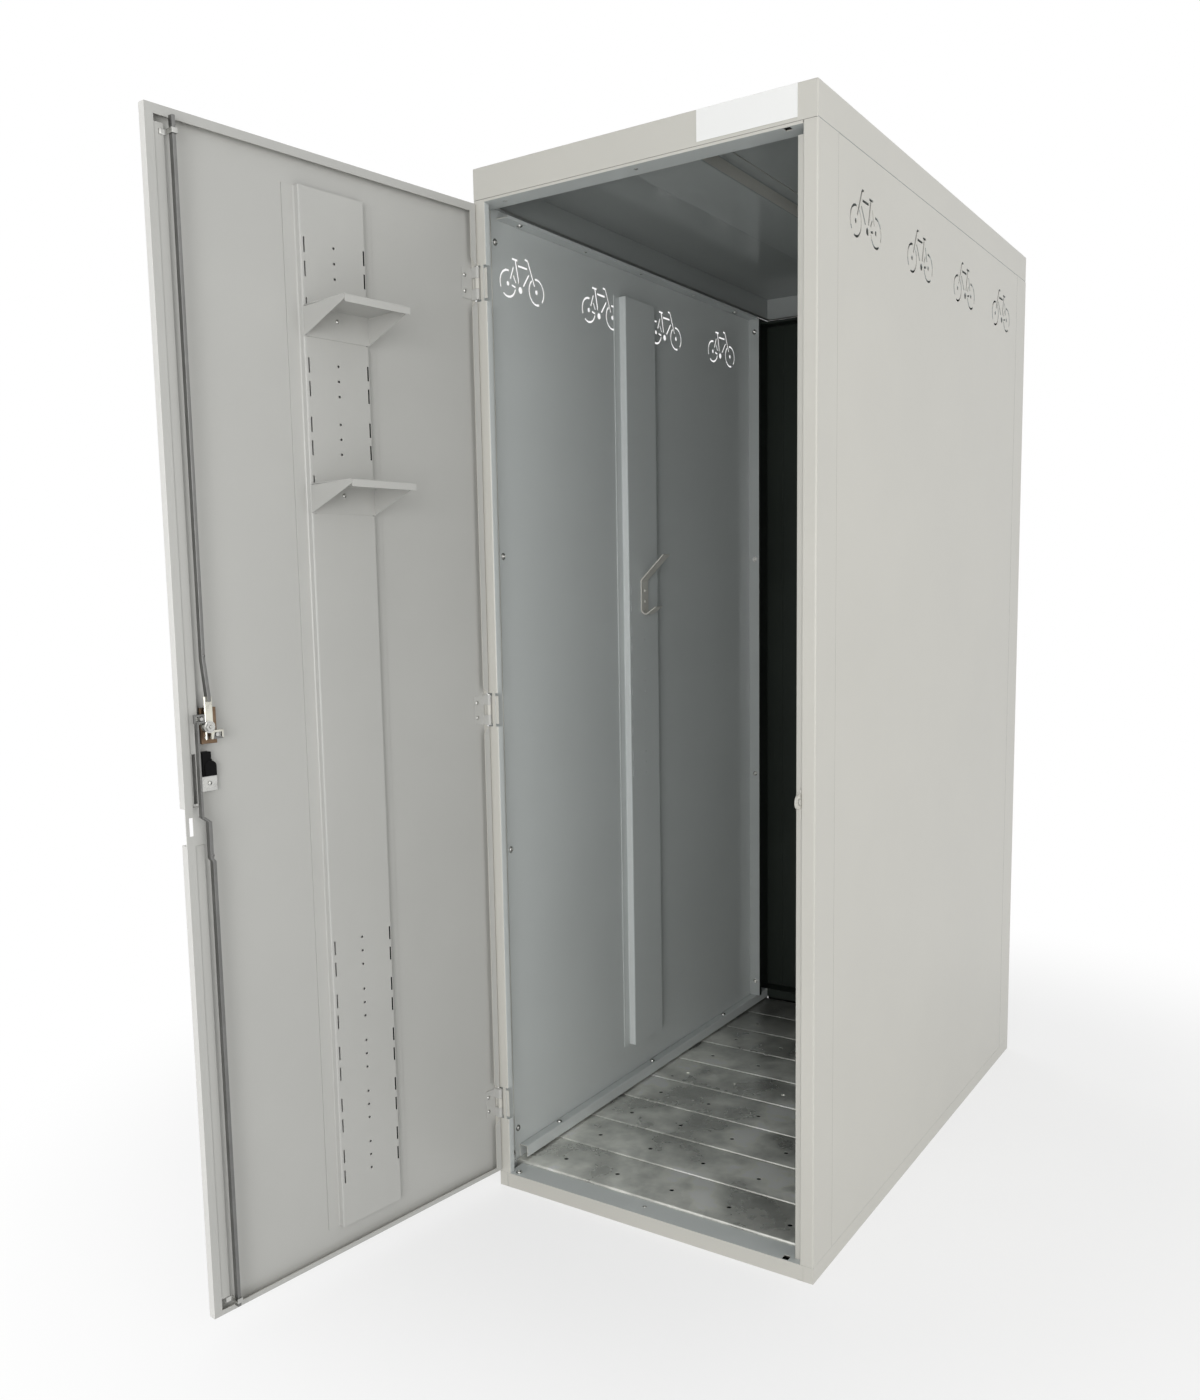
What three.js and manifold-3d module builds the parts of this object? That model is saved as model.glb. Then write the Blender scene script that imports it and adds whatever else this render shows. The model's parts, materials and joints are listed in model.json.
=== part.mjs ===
import * as THREE from 'three';
import { mergeVertices } from 'three/addons/utils/BufferGeometryUtils.js';
import Module from 'manifold-3d';

// Upright bicycle locker of folded sheet steel, for one bicycle, with its door standing open.
// Millimetres, +Z up, X to the right and Y to the back as one faces the door.
// The origin is on the ground under the middle of the cabinet.

// Cabinet as a whole
const cabinetWidth = 700;
const cabinetDepth = 1300;
const cabinetHeight = 2030;
const sheet = 1.5;
const seam = 0.3;
const slack = 0.6;
const bendRadius = 3;
const cutOverrun = 4;

// Roof
const capHeight = 59;
const capReturn = 12;
const hatCrownWidth = 136;
const hatFlange = 26;
const hatHeight = 31;
const hatFrontInset = 130;
const hatRearInset = 60;
const signWidth = 183;
const signHeight = 52;
const signThickness = 1;
const signRightInset = 35;
const signTopInset = 1;

// Base ring
const fasciaHeight = 30;
const sillHeight = 62;
const sillFlange = 21;
const sillLip = 24;
const baseFlange = 30;
const cornerReturn = 19;
const thresholdDepth = 53;
const thresholdLip = 10;
const rearLedge = 48;
const sillFrontInset = 66;
const crossRailWidth = 50;

// Floor planks
const plankCount = 9;
const floorTop = 34;
const plankGap = 2;
const plankHoleColumns = 5;
const plankHolePitch = 128.5;
const plankHoleInset = 55;
const plankHoleRadius = 5;

// Corner posts
const postFace = 26;
const frontPostSide = 85;
const hingePostSide = 50;
const rearPostSide = 80;
const frontPostLap = 20;
const rearPostLap = 40;
const rearPanelLap = 24;
const rebateDepth = 15;
const rebateWidth = 16;
const rebateReturn = 15;
const rebateTopDrop = 11;
const hingeReturn = 14;
const returnNotch = 6;
const innerFlange = 30;
const innerReturn = 12;

// Headers and top rails
const headerDrop = 5;
const headerDepth = 48;
const headerRise = 54;
const railDrop = 18;
const railFlange = 26;
const railLip = 6;
const rearHeaderDepth = 50;

// Vents in the side panels, each a small bicycle cut as a stencil
const ventCount = 4;
const ventPitch = 290;
const ventBase = 96;
const ventStroke = 4.2;
const ventWheelRadius = 25.5;
const ventHubRadius = 4.8;
const ventCrankRadius = 7;
const ventSaddleHeight = 50;
const ventFirstHubRight = 164;
const ventFirstHubLeft = 198;
const ventHubDropRight = 179;
const ventHubDropLeft = 189;
const arcStepDegrees = 20;
const ventDotSides = 10;

// Stencil strokes, as shares of the wheelbase along and of the saddle height up, from the rear hub
const ventStrokeShares = [
  [0.15, 1, 0.35, 1],
  [0.27, 1, 0.383, 0.11],
  [0.2, 0.7, 0.085, 0.2],
  [0.19, 0.37, 0.275, 0.1],
  [0.125, -0.02, 0.265, -0.07],
  [0.355, 0.8, 0.69, 0.8],
  [0.745, 0.59, 0.53, 0.06],
  [0.715, 1.11, 0.935, 0.21],
  [0.6, 1.14, 0.715, 1.12],
];
const ventCrankShares = [0.427, -0.12];
const ventRearArcs = [[80, 205], [232, 344]];
const ventFrontArcs = [[125, 290], [-43, 101]];

// Wall channel and coat hook
const wallChannelBottomInset = 72;
const wallChannelTopInset = 139;
const wallChannelMiddle = -68;
const wallCrownWidth = 132;
const wallFlange = 24;
const wallChannelDepth = 17;
const wallSlotInset = 7;
const wallHoleDrop = 18;
const wallGroups = 5;
const hookWidth = 30;
const hookThickness = 2.5;
const hookBendDrop = 774;
const hookBendRadius = 9;
const hookTipReach = 61;
const hookTipRise = 58;
const hookPlateHeight = 76;
const hookCurlReach = 12;
const hookCurlDrop = 8;
const hookLowReach = 40;
const hookLowRise = 11;

// Perforation shared by both channels
const groupPitch = 97.7;
const groupHoles = 3;
const holePitch = 25.4;
const holeRadius = 2.4;
const slotLength = 25;
const slotWidth = 3;
const slotPairPitch = 39;
const slotLead = 8;

// Door
const doorThickness = 15;
const doorBottomGap = 5;
const doorTopGap = 1;
const doorGap = 3;
const hingeInset = 7;
const freeInset = 18;
const doorOpening = 97.48;
const hingeLip = 14;
const freeLip = 15;
const topLip = 15;
const bottomLip = 9;

// Hinges
const hingeEndInset = 146;
const knuckleRadius = 4.5;
const pinRadius = 2.4;
const pinClearance = 0.3;
const pinHeadRadius = 4;
const pinHeadHeight = 1.5;
const knuckleHeight = 20;
const leafHeight = 56;
const leafWidth = 28;
const frameLeafWidth = 21;
const knuckleClearance = 1.5;
const lipNotchHeight = 65;
const roundSides = 12;

// Door channel and shelves
const doorCrownWidth = 137;
const doorFlange = 24;
const doorChannelBottomInset = 47;
const doorChannelTopInset = 57;
const doorHoleInset = 90;
const doorGroups = 5;
const doorNearSlotInset = 4.5;
const doorFarSlotInset = 8;
const shelfDrops = [543, 250];
const shelfDepth = 113;
const shelfBack = 50;
const shelfLip = 13;
const gussetTip = 14;

// Edge stiffener and padlock dish
const stiffenerInset = 41;
const stiffenerFlange = 9;
const stiffenerBottomInset = 27;
const stiffenerTopInset = 25;
const stiffenerEdgeGap = 1.5;
const dishDepth = 34;
const dishHeight = 62;
const eyeSlotClearance = 2;
const lockSlotInset = 25;
const lockSlotWidth = 7;
const lockSlotDrop = 43;
const lockSlotHeight = 80;

// Padlock eye on the right front post
const eyeThickness = 3;
const eyeRadius = 13;
const eyeHoleRadius = 6.5;
const eyeDrop = 159;
const eyeReach = 19.5;
const eyeBaseBelow = 31;
const eyeBaseAbove = 20;
const eyeSides = 20;

// Lock: handle spindle, cam, two rods and their guides
const spindleInset = 43;
const spindleRise = 993;
const spindleRadius = 6;
const spindleClearance = 0.4;
const camRadius = 19;
const camEnd = 6;
const camLift = 4.3;
const camThickness = 2.4;
const camPinRadius = 3;
const camPinLift = 15;
const camPinSlack = 0.9;
const camPlay = 0.6;
const footLift = 10;
const footThickness = 3;
const footWall = 3.2;
const rodShift = 5;
const rodWidth = 6;
const rodLift = 7;
const rodDepth = 10;
const upperTipInset = 15;
const upperCrankRise = 48;
const upperCrankLength = 59;
const upperCrankShift = 6;
const upperFootRise = 40;
const forkNear = 8;
const forkFar = 6;
const forkRise = 3;
const lowerTipInset = 12;
const linkShift = 16;
const linkWidth = 3;
const lowerCrankDrop = 143;
const lowerCrankLength = 9;
const lowerCrankShift = 4;
const lowerJointDrop = 212;
const lowerJointLength = 5;
const rodHoleClearance = 3;
const guideBottomInset = 23;
const guideTopInset = 38;
const guideHeight = 8;
const guideWall = 1.6;
const guidePlay = 0.4;
const guideInset = 23;
const bracketInset = 62;
const bracketWidth = 28;
const bracketBelow = 28;
const bracketAbove = 30;
const bracketLift = 2;
const bracketThickness = 2;
const nutRadius = 8;
const nutHeight = 4;
const washerRadius = 10;
const washerThickness = 2;
const spindleEnd = 22;

// Handle on the outer face
const plateInset = 65;
const plateWidth = 44;
const plateBelow = 116;
const plateAbove = 34;
const plateThickness = 3;
const blockInset = 61;
const blockWidth = 24;
const blockDrop = 42;
const blockHeight = 39;
const blockLift = -2;
const blockStep = 8;
const bossRadius = 10.5;
const bossDrop = 14;
const bossProud = 2;
const clampDrop = 82;
const clampHeight = 24;
const clampWidth = 28;
const clampThickness = 2.2;
const clampLift = -6;
const leverWidth = 20;
const leverThickness = 9;
const leverLength = 104;
const leverHubRadius = 14;
const leverProud = 2.5;
const leverTaperShare = 0.7;

const wasm = await Module();
wasm.setup();

// Derived edges of the cabinet
const right = cabinetWidth / 2;
const front = -cabinetDepth / 2;
const back = cabinetDepth / 2;
const lap = sheet + seam;
const capBottom = cabinetHeight - capHeight;
const postBottom = fasciaHeight + seam;
const postTop = capBottom - seam;
const headerBottom = capBottom - headerDrop;
const railBottom = capBottom - railDrop;
const lapBottom = sillHeight + seam;
const postInner = right - postFace;
const floorStart = front + thresholdDepth;
const floorEnd = back - rearLedge;
const plankPitch = (floorEnd - floorStart) / plankCount;
const wallInside = right - sheet - seam;
const footReach = right - baseFlange - seam;
const hookBendHeight = cabinetHeight - hookBendDrop;
const wallHoleTop = hookBendHeight - wallHoleDrop;

// Derived edges of the door
const hingeX = hingeInset - right;
const hingeY = front - doorGap;
const doorWidth = cabinetWidth - hingeInset - freeInset;
const doorBottom = fasciaHeight + doorBottomGap;
const doorTop = headerBottom - doorTopGap;
const panInside = -doorThickness + sheet;
const hingeHeights = [doorBottom + hingeEndInset, (doorBottom + doorTop) / 2, doorTop - hingeEndInset];
const hingeHalf = knuckleHeight + knuckleHeight / 2 + seam + pinHeadHeight + knuckleClearance;
const doorChannelStart = (doorWidth - doorCrownWidth) / 2;
const doorChannelBottom = doorBottom + doorChannelBottomInset;
const doorChannelTop = doorTop - doorChannelTopInset;
const doorHoleTop = doorChannelTop - doorHoleInset;
const stiffenerStart = doorWidth - stiffenerInset;

// Derived edges of the lock and handle, which follow the spindle
const spindleAcross = doorWidth - spindleInset;
const spindleHeight = doorBottom + spindleRise;
const lockRise = camRadius * Math.SQRT1_2;
const threadRadius = spindleRadius / 2;
const rodAcross = spindleAcross + rodShift;
const blockTop = spindleHeight - blockDrop;
const blockStart = doorWidth - blockInset;
const blockEnd = blockStart + blockWidth;
const blockBottom = blockTop - blockHeight;
const bossTop = blockTop - bossDrop;
const bossSpan = [blockStart, blockStart + 2 * bossRadius];
const clampTop = spindleHeight - clampDrop;
const clampBottom = clampTop - clampHeight;
const clampStart = blockStart + blockWidth / 2 - clampWidth / 2;
const eyeHeight = spindleHeight - eyeDrop;
const eyeBaseBottom = eyeHeight - eyeBaseBelow;
const eyeBaseTop = eyeHeight + eyeBaseAbove;
const dishStart = doorWidth - dishDepth;
const dishBottom = eyeHeight - dishHeight / 2;
const dishTop = eyeHeight + dishHeight / 2;

// Materials
const paint = new THREE.MeshStandardMaterial({ color: 0xbfc2bf, roughness: 0.42, metalness: 0.0 });
const zinc = new THREE.MeshStandardMaterial({ color: 0x8f9798, roughness: 0.4, metalness: 0.9 });
const steel = new THREE.MeshStandardMaterial({ color: 0xb4b7b8, roughness: 0.3, metalness: 1.0 });
const yellowZinc = new THREE.MeshStandardMaterial({ color: 0x9c8460, roughness: 0.35, metalness: 0.9 });
const blackPlastic = new THREE.MeshStandardMaterial({ color: 0x141414, roughness: 0.5, metalness: 0.0 });
const whitePlate = new THREE.MeshStandardMaterial({ color: 0xf2f2f0, roughness: 0.35, metalness: 0.0 });

// Closed three.js geometry to a solid
function toSolid(geometry) {
  geometry.deleteAttribute('normal');
  geometry.deleteAttribute('uv');
  const merged = mergeVertices(geometry);
  const vertProperties = new Float32Array(merged.attributes.position.array);
  const triVerts = new Uint32Array(merged.index.array);
  return new wasm.Manifold(new wasm.Mesh({ numProp: 3, vertProperties, triVerts }));
}

// Block between two corners
function block([x0, x1], [y0, y1], [z0, z1]) {
  const geometry = new THREE.BoxGeometry(x1 - x0, y1 - y0, z1 - z0);
  geometry.translate((x0 + x1) / 2, (y0 + y1) / 2, (z0 + z1) / 2);
  return toSolid(geometry);
}

// Turns that lay an extruded outline along a row axis
const layAlong = {
  x: new THREE.Matrix4().makeBasis(
    new THREE.Vector3(0, 1, 0),
    new THREE.Vector3(0, 0, 1),
    new THREE.Vector3(1, 0, 0),
  ),
  y: new THREE.Matrix4().makeBasis(
    new THREE.Vector3(1, 0, 0),
    new THREE.Vector3(0, 0, 1),
    new THREE.Vector3(0, -1, 0),
  ),
  z: new THREE.Matrix4(),
};

// Prism of a closed outline along x (outline in y, z), y (in x, z) or z (in x, y)
function prism(outline, axis, [from, to]) {
  const shape = new THREE.Shape(outline.map(([u, v]) => new THREE.Vector2(u, v)));
  const geometry = new THREE.ExtrudeGeometry(shape, { depth: to - from, bevelEnabled: false });
  geometry.translate(0, 0, axis === 'y' ? -to : from);
  geometry.applyMatrix4(layAlong[axis]);
  return toSolid(geometry);
}

// Round bar or disc along x, y or z
function round([u, v], radius, axis, span, sides = roundSides) {
  const outline = [];
  for (let i = 0; i < sides; i += 1) {
    const turn = (2 * Math.PI * i) / sides;
    outline.push([u + radius * Math.cos(turn), v + radius * Math.sin(turn)]);
  }
  return prism(outline, axis, span);
}

// Corners of an open line replaced by curves, as a press brake leaves them
const bendRoomShare = 0.45;
const bendSteps = 3;
function bent(points, radius = bendRadius) {
  const line = points.map(([u, v]) => new THREE.Vector2(u, v));
  const out = [line[0]];
  for (let i = 1; i < line.length - 1; i += 1) {
    const toLast = line[i - 1].clone().sub(line[i]);
    const toNext = line[i + 1].clone().sub(line[i]);
    const room = Math.min(toLast.length(), toNext.length()) * bendRoomShare;
    const halfAngle = toLast.angleTo(toNext) / 2;
    const reach = Math.min(radius / Math.tan(halfAngle), room);
    const start = line[i].clone().add(toLast.setLength(reach));
    const end = line[i].clone().add(toNext.setLength(reach));
    out.push(...new THREE.QuadraticBezierCurve(start, line[i], end).getPoints(bendSteps));
  }
  out.push(line[line.length - 1]);
  return out.map((p) => [p.x, p.y]);
}

// Closed outline of a folded sheet: the line given, and the same line moved to its left
function folded(points, thickness = sheet) {
  const normals = [];
  for (let i = 0; i < points.length - 1; i += 1) {
    const along = new THREE.Vector2(points[i + 1][0] - points[i][0], points[i + 1][1] - points[i][1]);
    along.normalize();
    normals.push(new THREE.Vector2(-along.y, along.x));
  }
  const moved = points.map(([u, v], i) => {
    const before = normals[Math.max(i - 1, 0)];
    const after = normals[Math.min(i, normals.length - 1)];
    const mitre = before.clone().add(after);
    mitre.multiplyScalar(thickness / (1 + before.dot(after)));
    return [u + mitre.x, v + mitre.y];
  });
  return [...points, ...moved.reverse()];
}

const mirrored = (points) => points.map(([u, v]) => [-u, v]);
const joined = (solids) => solids.reduce((sum, solid) => sum.add(solid));
const cutBy = (solid, tools) => tools.reduce((rest, tool) => rest.subtract(tool), solid);

// Span on the right side of the cabinet, moved to the left side when side is -1
const sided = (side, [from, to]) => (side > 0 ? [from, to] : [-to, -from]);

const locker = new THREE.Group();
const doorGroup = new THREE.Group();
doorGroup.position.set(hingeX, hingeY, 0);
doorGroup.rotation.z = -THREE.MathUtils.degToRad(doorOpening);
locker.add(doorGroup);

// Puts a finished solid into a group as a named mesh
function place(group, name, solid, material) {
  const data = solid.getMesh();
  const geometry = new THREE.BufferGeometry();
  geometry.setAttribute('position', new THREE.BufferAttribute(data.vertProperties, data.numProp));
  geometry.setIndex(new THREE.BufferAttribute(data.triVerts, 1));
  const mesh = new THREE.Mesh(geometry, material);
  mesh.name = name;
  group.add(mesh);
}

// Base ring: side sills, whose upper edge is set in behind the side panel
function sideSill(side) {
  const lower = [
    [right - baseFlange, 0],
    [right, 0],
    [right, fasciaHeight],
    [right - lap, fasciaHeight],
    [right - lap, sillHeight / 2 + fasciaHeight / 2],
  ];
  const upper = [
    [right - lap, fasciaHeight - sheet],
    [right - lap, sillHeight],
    [right - lap - sillFlange, sillHeight],
    [right - lap - sillFlange, sillHeight - sillLip],
  ];
  const orient = (points) => (side > 0 ? points : mirrored(points));
  const web = prism(orient(folded(lower)), 'y', [front, back]);
  const trim = block(sided(side, [right - lap - sheet, right]), [front, back],
    [fasciaHeight, sillHeight]);
  const ledge = prism(orient(folded(bent(upper))), 'y', [front + sillFrontInset, floorEnd - seam]);
  const corner = block(sided(side, [right - cornerReturn, right]), [front, front + sheet],
    [0, fasciaHeight]);
  return joined([web.subtract(trim), ledge, corner]);
}

function frontSill() {
  const reach = right - cornerReturn - seam;
  const outline = [
    [front, 0],
    [front, fasciaHeight],
    [front + thresholdDepth, fasciaHeight],
    [front + thresholdDepth, fasciaHeight - thresholdLip],
  ];
  const channel = prism(folded([...outline].reverse()), 'x', [-reach, reach]);
  const flange = block([-footReach, footReach], [front, front + baseFlange], [0, sheet]);
  return cutBy(channel.add(flange), [rodHole(0, cabinetHeight / 2), ...flangeRooms()]);
}

function rearSill() {
  const lower = [
    [back, 0],
    [back, fasciaHeight],
    [back - lap, fasciaHeight],
    [back - lap, sillHeight],
    [floorEnd, sillHeight],
    [floorEnd, sillHeight - sillLip],
  ];
  const channel = prism(folded(lower), 'x', [-wallInside + sheet + seam, wallInside - sheet - seam]);
  const flange = block([-footReach, footReach], [back - baseFlange, back], [0, sheet]);
  return cutBy(channel.add(flange), flangeRooms());
}

// Room under the front and rear sills for the flanges of the side sills
function flangeRooms() {
  return [-1, 1].map((side) => block(sided(side, [footReach, right + cutOverrun]),
    [front - cutOverrun, back + cutOverrun], [-cutOverrun, sheet + seam]));
}

function crossRail() {
  const outline = [
    [crossRailWidth / 2, floorTop - sheet - seam],
    [-crossRailWidth / 2, floorTop - sheet - seam],
    [-crossRailWidth / 2, 0],
    [crossRailWidth / 2, 0],
  ];
  return prism(folded(bent(outline)), 'x', [-footReach, footReach]);
}

// Floor: inverted trays that stand on the flanges of the base ring
function plank(index) {
  const start = floorStart + index * plankPitch + plankGap / 2;
  const end = start + plankPitch - plankGap;
  const outline = [[end, sheet + seam], [end, floorTop], [start, floorTop], [start, sheet + seam]];
  const reach = wallInside - sheet - slack;
  const tray = prism(folded(bent(outline)), 'x', [-reach, reach]);
  const holes = [];
  for (let i = 0; i < plankHoleColumns; i += 1) {
    const across = (i - (plankHoleColumns - 1) / 2) * plankHolePitch;
    holes.push(round([across, start + plankHoleInset], plankHoleRadius, 'z',
      [floorTop - sheet - cutOverrun, floorTop + cutOverrun], roundSides / 2));
  }
  return cutBy(tray, holes);
}

// Opening in sill or header that a lock rod enters when the door is shut and locked
function rodHole(from, to) {
  const across = hingeX + rodAcross;
  const nearEdge = hingeY + rodLift - sheet;
  const farEdge = hingeY + rodLift + rodDepth + rodHoleClearance;
  const halfWidth = rodWidth / 2 + rodHoleClearance;
  return block([across - halfWidth, across + halfWidth], [nearEdge, farEdge],
    [from + lap, to]);
}

// Front posts: face, side and a lap behind the side panel
function frontPostEnd(side) {
  return front + (side > 0 ? frontPostSide : hingePostSide);
}

function frontPost(side) {
  const sideEnd = frontPostEnd(side);
  const rebateY = front + rebateDepth;
  const lapLine = [[right - lap, sideEnd + frontPostLap], [right - lap, sideEnd], [right, sideEnd]];
  const rebate = [
    [postInner, rebateY],
    [postInner - rebateWidth, rebateY],
    [postInner - rebateWidth, rebateY + rebateReturn],
  ];
  const edge = side > 0 ? rebate : [[postInner, front + hingeReturn]];
  const face = [[right, sideEnd], [right, front], [postInner, front], ...edge];
  const line = [...lapLine, ...bent(face).slice(1)];
  const outline = folded([...line].reverse());
  const post = prism(side > 0 ? outline : mirrored(outline), 'z', [postBottom, postTop]);
  const behind = [front + sheet + seam / 2, sideEnd + frontPostLap + cutOverrun];
  const inner = sided(side, [0, right - sheet - seam / 2]);
  const headerRoom = block(inner, [behind[0], sideEnd - sheet], [headerBottom - seam, cabinetHeight]);
  const sillRoom = block(inner, [sideEnd - sheet - seam, behind[1]], [0, lapBottom]);
  const lipTop = block(sided(side, [0, postInner - seam]), behind,
    [headerBottom - rebateTopDrop, cabinetHeight]);
  const cuts = [headerRoom, sillRoom, lipTop];
  if (side < 0) {
    hingeHeights.forEach((height) => cuts.push(hingeWindow(height)));
  }
  return cutBy(post, cuts);
}

// Window in the hinge post round the knuckles of one hinge
function hingeWindow(height) {
  const reach = knuckleRadius + knuckleClearance;
  const window = block([hingeX - reach, hingeX + reach], [hingeY, hingeY + reach + sheet],
    [height - hingeHalf, height + hingeHalf]);
  const notch = block([-postInner - returnNotch, cutOverrun - postInner],
    [front - cutOverrun, front + hingeReturn + cutOverrun], [height - hingeHalf, height + hingeHalf]);
  return window.add(notch);
}

// Rear posts: side, back, a lap for each panel, and a flange that faces the door
function rearPost(side) {
  const sideStart = back - rearPostSide;
  const flangeY = sideStart - rearPostLap;
  const line = [
    [postInner - rearPanelLap, back - lap],
    [postInner, back - lap],
    [postInner, back],
    [right, back],
    [right, sideStart],
    [right - lap, sideStart],
    [right - lap, flangeY],
    [right - lap - innerFlange, flangeY],
    [right - lap - innerFlange, flangeY + innerReturn],
  ];
  const outline = folded([...line].reverse());
  const post = prism(side > 0 ? outline : mirrored(outline), 'z', [postBottom, postTop]);
  const inner = sided(side, [0, right - sheet - seam / 2]);
  const all = [flangeY - cutOverrun, back - sheet - seam / 2];
  const sillRoom = block(inner, all, [0, lapBottom]);
  const headerRoom = block(inner, [back - rearHeaderDepth - cutOverrun, all[1]],
    [railBottom - seam, cabinetHeight]);
  const flangeTop = block(inner, [flangeY - cutOverrun, sideStart],
    [headerBottom - rebateTopDrop, cabinetHeight]);
  return cutBy(post, [sillRoom, headerRoom, flangeTop]);
}

// Front header: lip under the roof, underside, and an upstand behind
function frontHeader() {
  const lipReach = postInner - seam;
  const flangeReach = right - sheet - seam - slack;
  const riseReach = right - sheet - capReturn - seam;
  const lip = block([-lipReach, lipReach], [front, front + sheet], [headerBottom, postTop]);
  const apron = block([-lipReach, lipReach], [front, front + headerDepth],
    [headerBottom, headerBottom + sheet]);
  const flange = block([-flangeReach, flangeReach], [front + lap, front + headerDepth],
    [headerBottom, headerBottom + sheet]);
  const rise = block([-riseReach, riseReach], [front + headerDepth - sheet, front + headerDepth],
    [headerBottom, headerBottom + headerRise]);
  return joined([lip, apron, flange, rise]).subtract(rodHole(cabinetHeight / 2, cabinetHeight));
}

function rearHeader() {
  const outline = [
    [back - rearHeaderDepth, railBottom + railLip],
    [back - rearHeaderDepth, railBottom],
    [back - lap, railBottom],
    [back - lap, postTop],
  ];
  const reach = right - sheet - seam - slack;
  return prism(folded(outline), 'x', [-reach, reach]);
}

function topRail(side) {
  const flangeEnd = right - lap - railFlange;
  const outline = [
    [flangeEnd, railBottom + railLip],
    [flangeEnd, railBottom],
    [right - lap, railBottom],
    [right - lap, postTop],
  ];
  const line = folded(outline);
  const start = frontPostEnd(side) + frontPostLap + seam;
  const end = back - rearPostSide - rearPostLap - seam;
  const rail = prism(side > 0 ? line : mirrored(line), 'y', [start, end]);
  const tongue = block(sided(side, [flangeEnd, right - lap - sheet - seam]),
    [front + sillFrontInset, start], [railBottom, railBottom + sheet]);
  return rail.add(tongue);
}

// Roof: a pan with its open side down and a return along its lower edge
function roofCap() {
  const shell = block([-right, right], [front, back], [capBottom, cabinetHeight]);
  const inside = right - sheet;
  const room = block([-inside, inside], [front + sheet, back - sheet],
    [capBottom + sheet, cabinetHeight - sheet]);
  const mouth = inside - capReturn;
  const opening = block([-mouth, mouth], [front + sheet + capReturn, back - sheet - capReturn],
    [capBottom - cutOverrun, capBottom + sheet + cutOverrun]);
  return cutBy(shell, [room, opening, rodHole(cabinetHeight / 2, cabinetHeight - capHeight / 2)]);
}

// Hat section line, open side at height 0, crown in the middle
function hatLine(middle, crownWidth, flange, height, thickness = sheet) {
  const crown = crownWidth / 2;
  return [
    [middle + crown + flange, thickness],
    [middle + crown, thickness],
    [middle + crown, height],
    [middle - crown, height],
    [middle - crown, thickness],
    [middle - crown - flange, thickness],
  ];
}

function roofStiffener() {
  const ceiling = cabinetHeight - sheet - seam;
  const line = hatLine(0, hatCrownWidth, hatFlange, hatHeight).map(([u, v]) => [-u, ceiling - v]);
  return prism(folded(bent(line)), 'y', [front + hatFrontInset, back - hatRearInset]);
}

function signPlate() {
  const end = right - signRightInset;
  const top = cabinetHeight - signTopInset;
  return block([end - signWidth, end], [front - seam - signThickness, front - seam],
    [top - signHeight, top]);
}

// Ring sector in the plane of a side panel
function ventArc([along, up], [from, to], span) {
  const steps = Math.ceil((to - from) / arcStepDegrees);
  const ring = [];
  for (let i = 0; i <= steps; i += 1) {
    const turn = THREE.MathUtils.degToRad(from + ((to - from) * i) / steps);
    ring.push([Math.cos(turn), Math.sin(turn)]);
  }
  const outer = ventWheelRadius + ventStroke / 2;
  const inner = ventWheelRadius - ventStroke / 2;
  const at = (radius) => ([c, s]) => [along + radius * c, up + radius * s];
  return prism([...ring.map(at(outer)), ...ring.map(at(inner)).reverse()], 'x', span);
}

// Straight stroke in the plane of a side panel
function ventBar([fromAlong, fromUp, toAlong, toUp], span) {
  const way = new THREE.Vector2(toAlong - fromAlong, toUp - fromUp).setLength(ventStroke / 2);
  const corners = [
    [fromAlong - way.y, fromUp + way.x],
    [fromAlong + way.y, fromUp - way.x],
    [toAlong + way.y, toUp - way.x],
    [toAlong - way.y, toUp + way.x],
  ];
  return prism(corners, 'x', span);
}

// Cutter for one vent, whose wheels point along +Y
function ventCutter(span) {
  const bars = ventStrokeShares.map(([a, b, c, d]) => ventBar(
    [a * ventBase, b * ventSaddleHeight, c * ventBase, d * ventSaddleHeight], span));
  const rear = ventRearArcs.map((turns) => ventArc([0, 0], turns, span));
  const fore = ventFrontArcs.map((turns) => ventArc([ventBase, 0], turns, span));
  const hubs = [0, ventBase].map((along) => round([along, 0], ventHubRadius, 'x', span, ventDotSides));
  const crankAt = [ventCrankShares[0] * ventBase, ventCrankShares[1] * ventSaddleHeight];
  const crank = round(crankAt, ventCrankRadius, 'x', span, ventDotSides);
  return joined([...bars, ...rear, ...fore, ...hubs, crank]);
}

function sidePanel(side) {
  const panel = block(sided(side, [right - sheet, right]),
    [frontPostEnd(side) + seam, back - rearPostSide - seam], [postBottom, postTop]);
  const cutter = ventCutter([-cutOverrun - sheet, cutOverrun + sheet]);
  const facing = side > 0 ? cutter.mirror([0, 1, 0]) : cutter;
  const first = side > 0 ? ventFirstHubRight + ventBase : ventFirstHubLeft - ventBase;
  const height = cabinetHeight - (side > 0 ? ventHubDropRight : ventHubDropLeft);
  const cuts = [];
  for (let i = 0; i < ventCount; i += 1) {
    cuts.push(facing.translate([side * right, front + first + i * ventPitch, height]));
  }
  return cutBy(panel, cuts);
}

function rearPanel() {
  const reach = postInner - seam;
  return block([-reach, reach], [back - sheet, back], [postBottom, postTop]);
}

// Groups of round holes in a column, from the top one down
function holeColumn(groups, top, make) {
  const holes = [];
  for (let g = 0; g < groups; g += 1) {
    for (let i = 0; i < groupHoles; i += 1) {
      holes.push(make(top - g * groupPitch - i * holePitch));
    }
  }
  return holes;
}

// Pairs of slots in a column, from the top pair down, given by the lower end of each slot
function slotColumn(groups, top, make) {
  const slots = [];
  for (let g = 0; g < groups; g += 1) {
    const upper = top + slotLead - slotLength - g * groupPitch;
    slots.push(make(upper), make(upper - slotPairPitch));
  }
  return slots;
}

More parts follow.
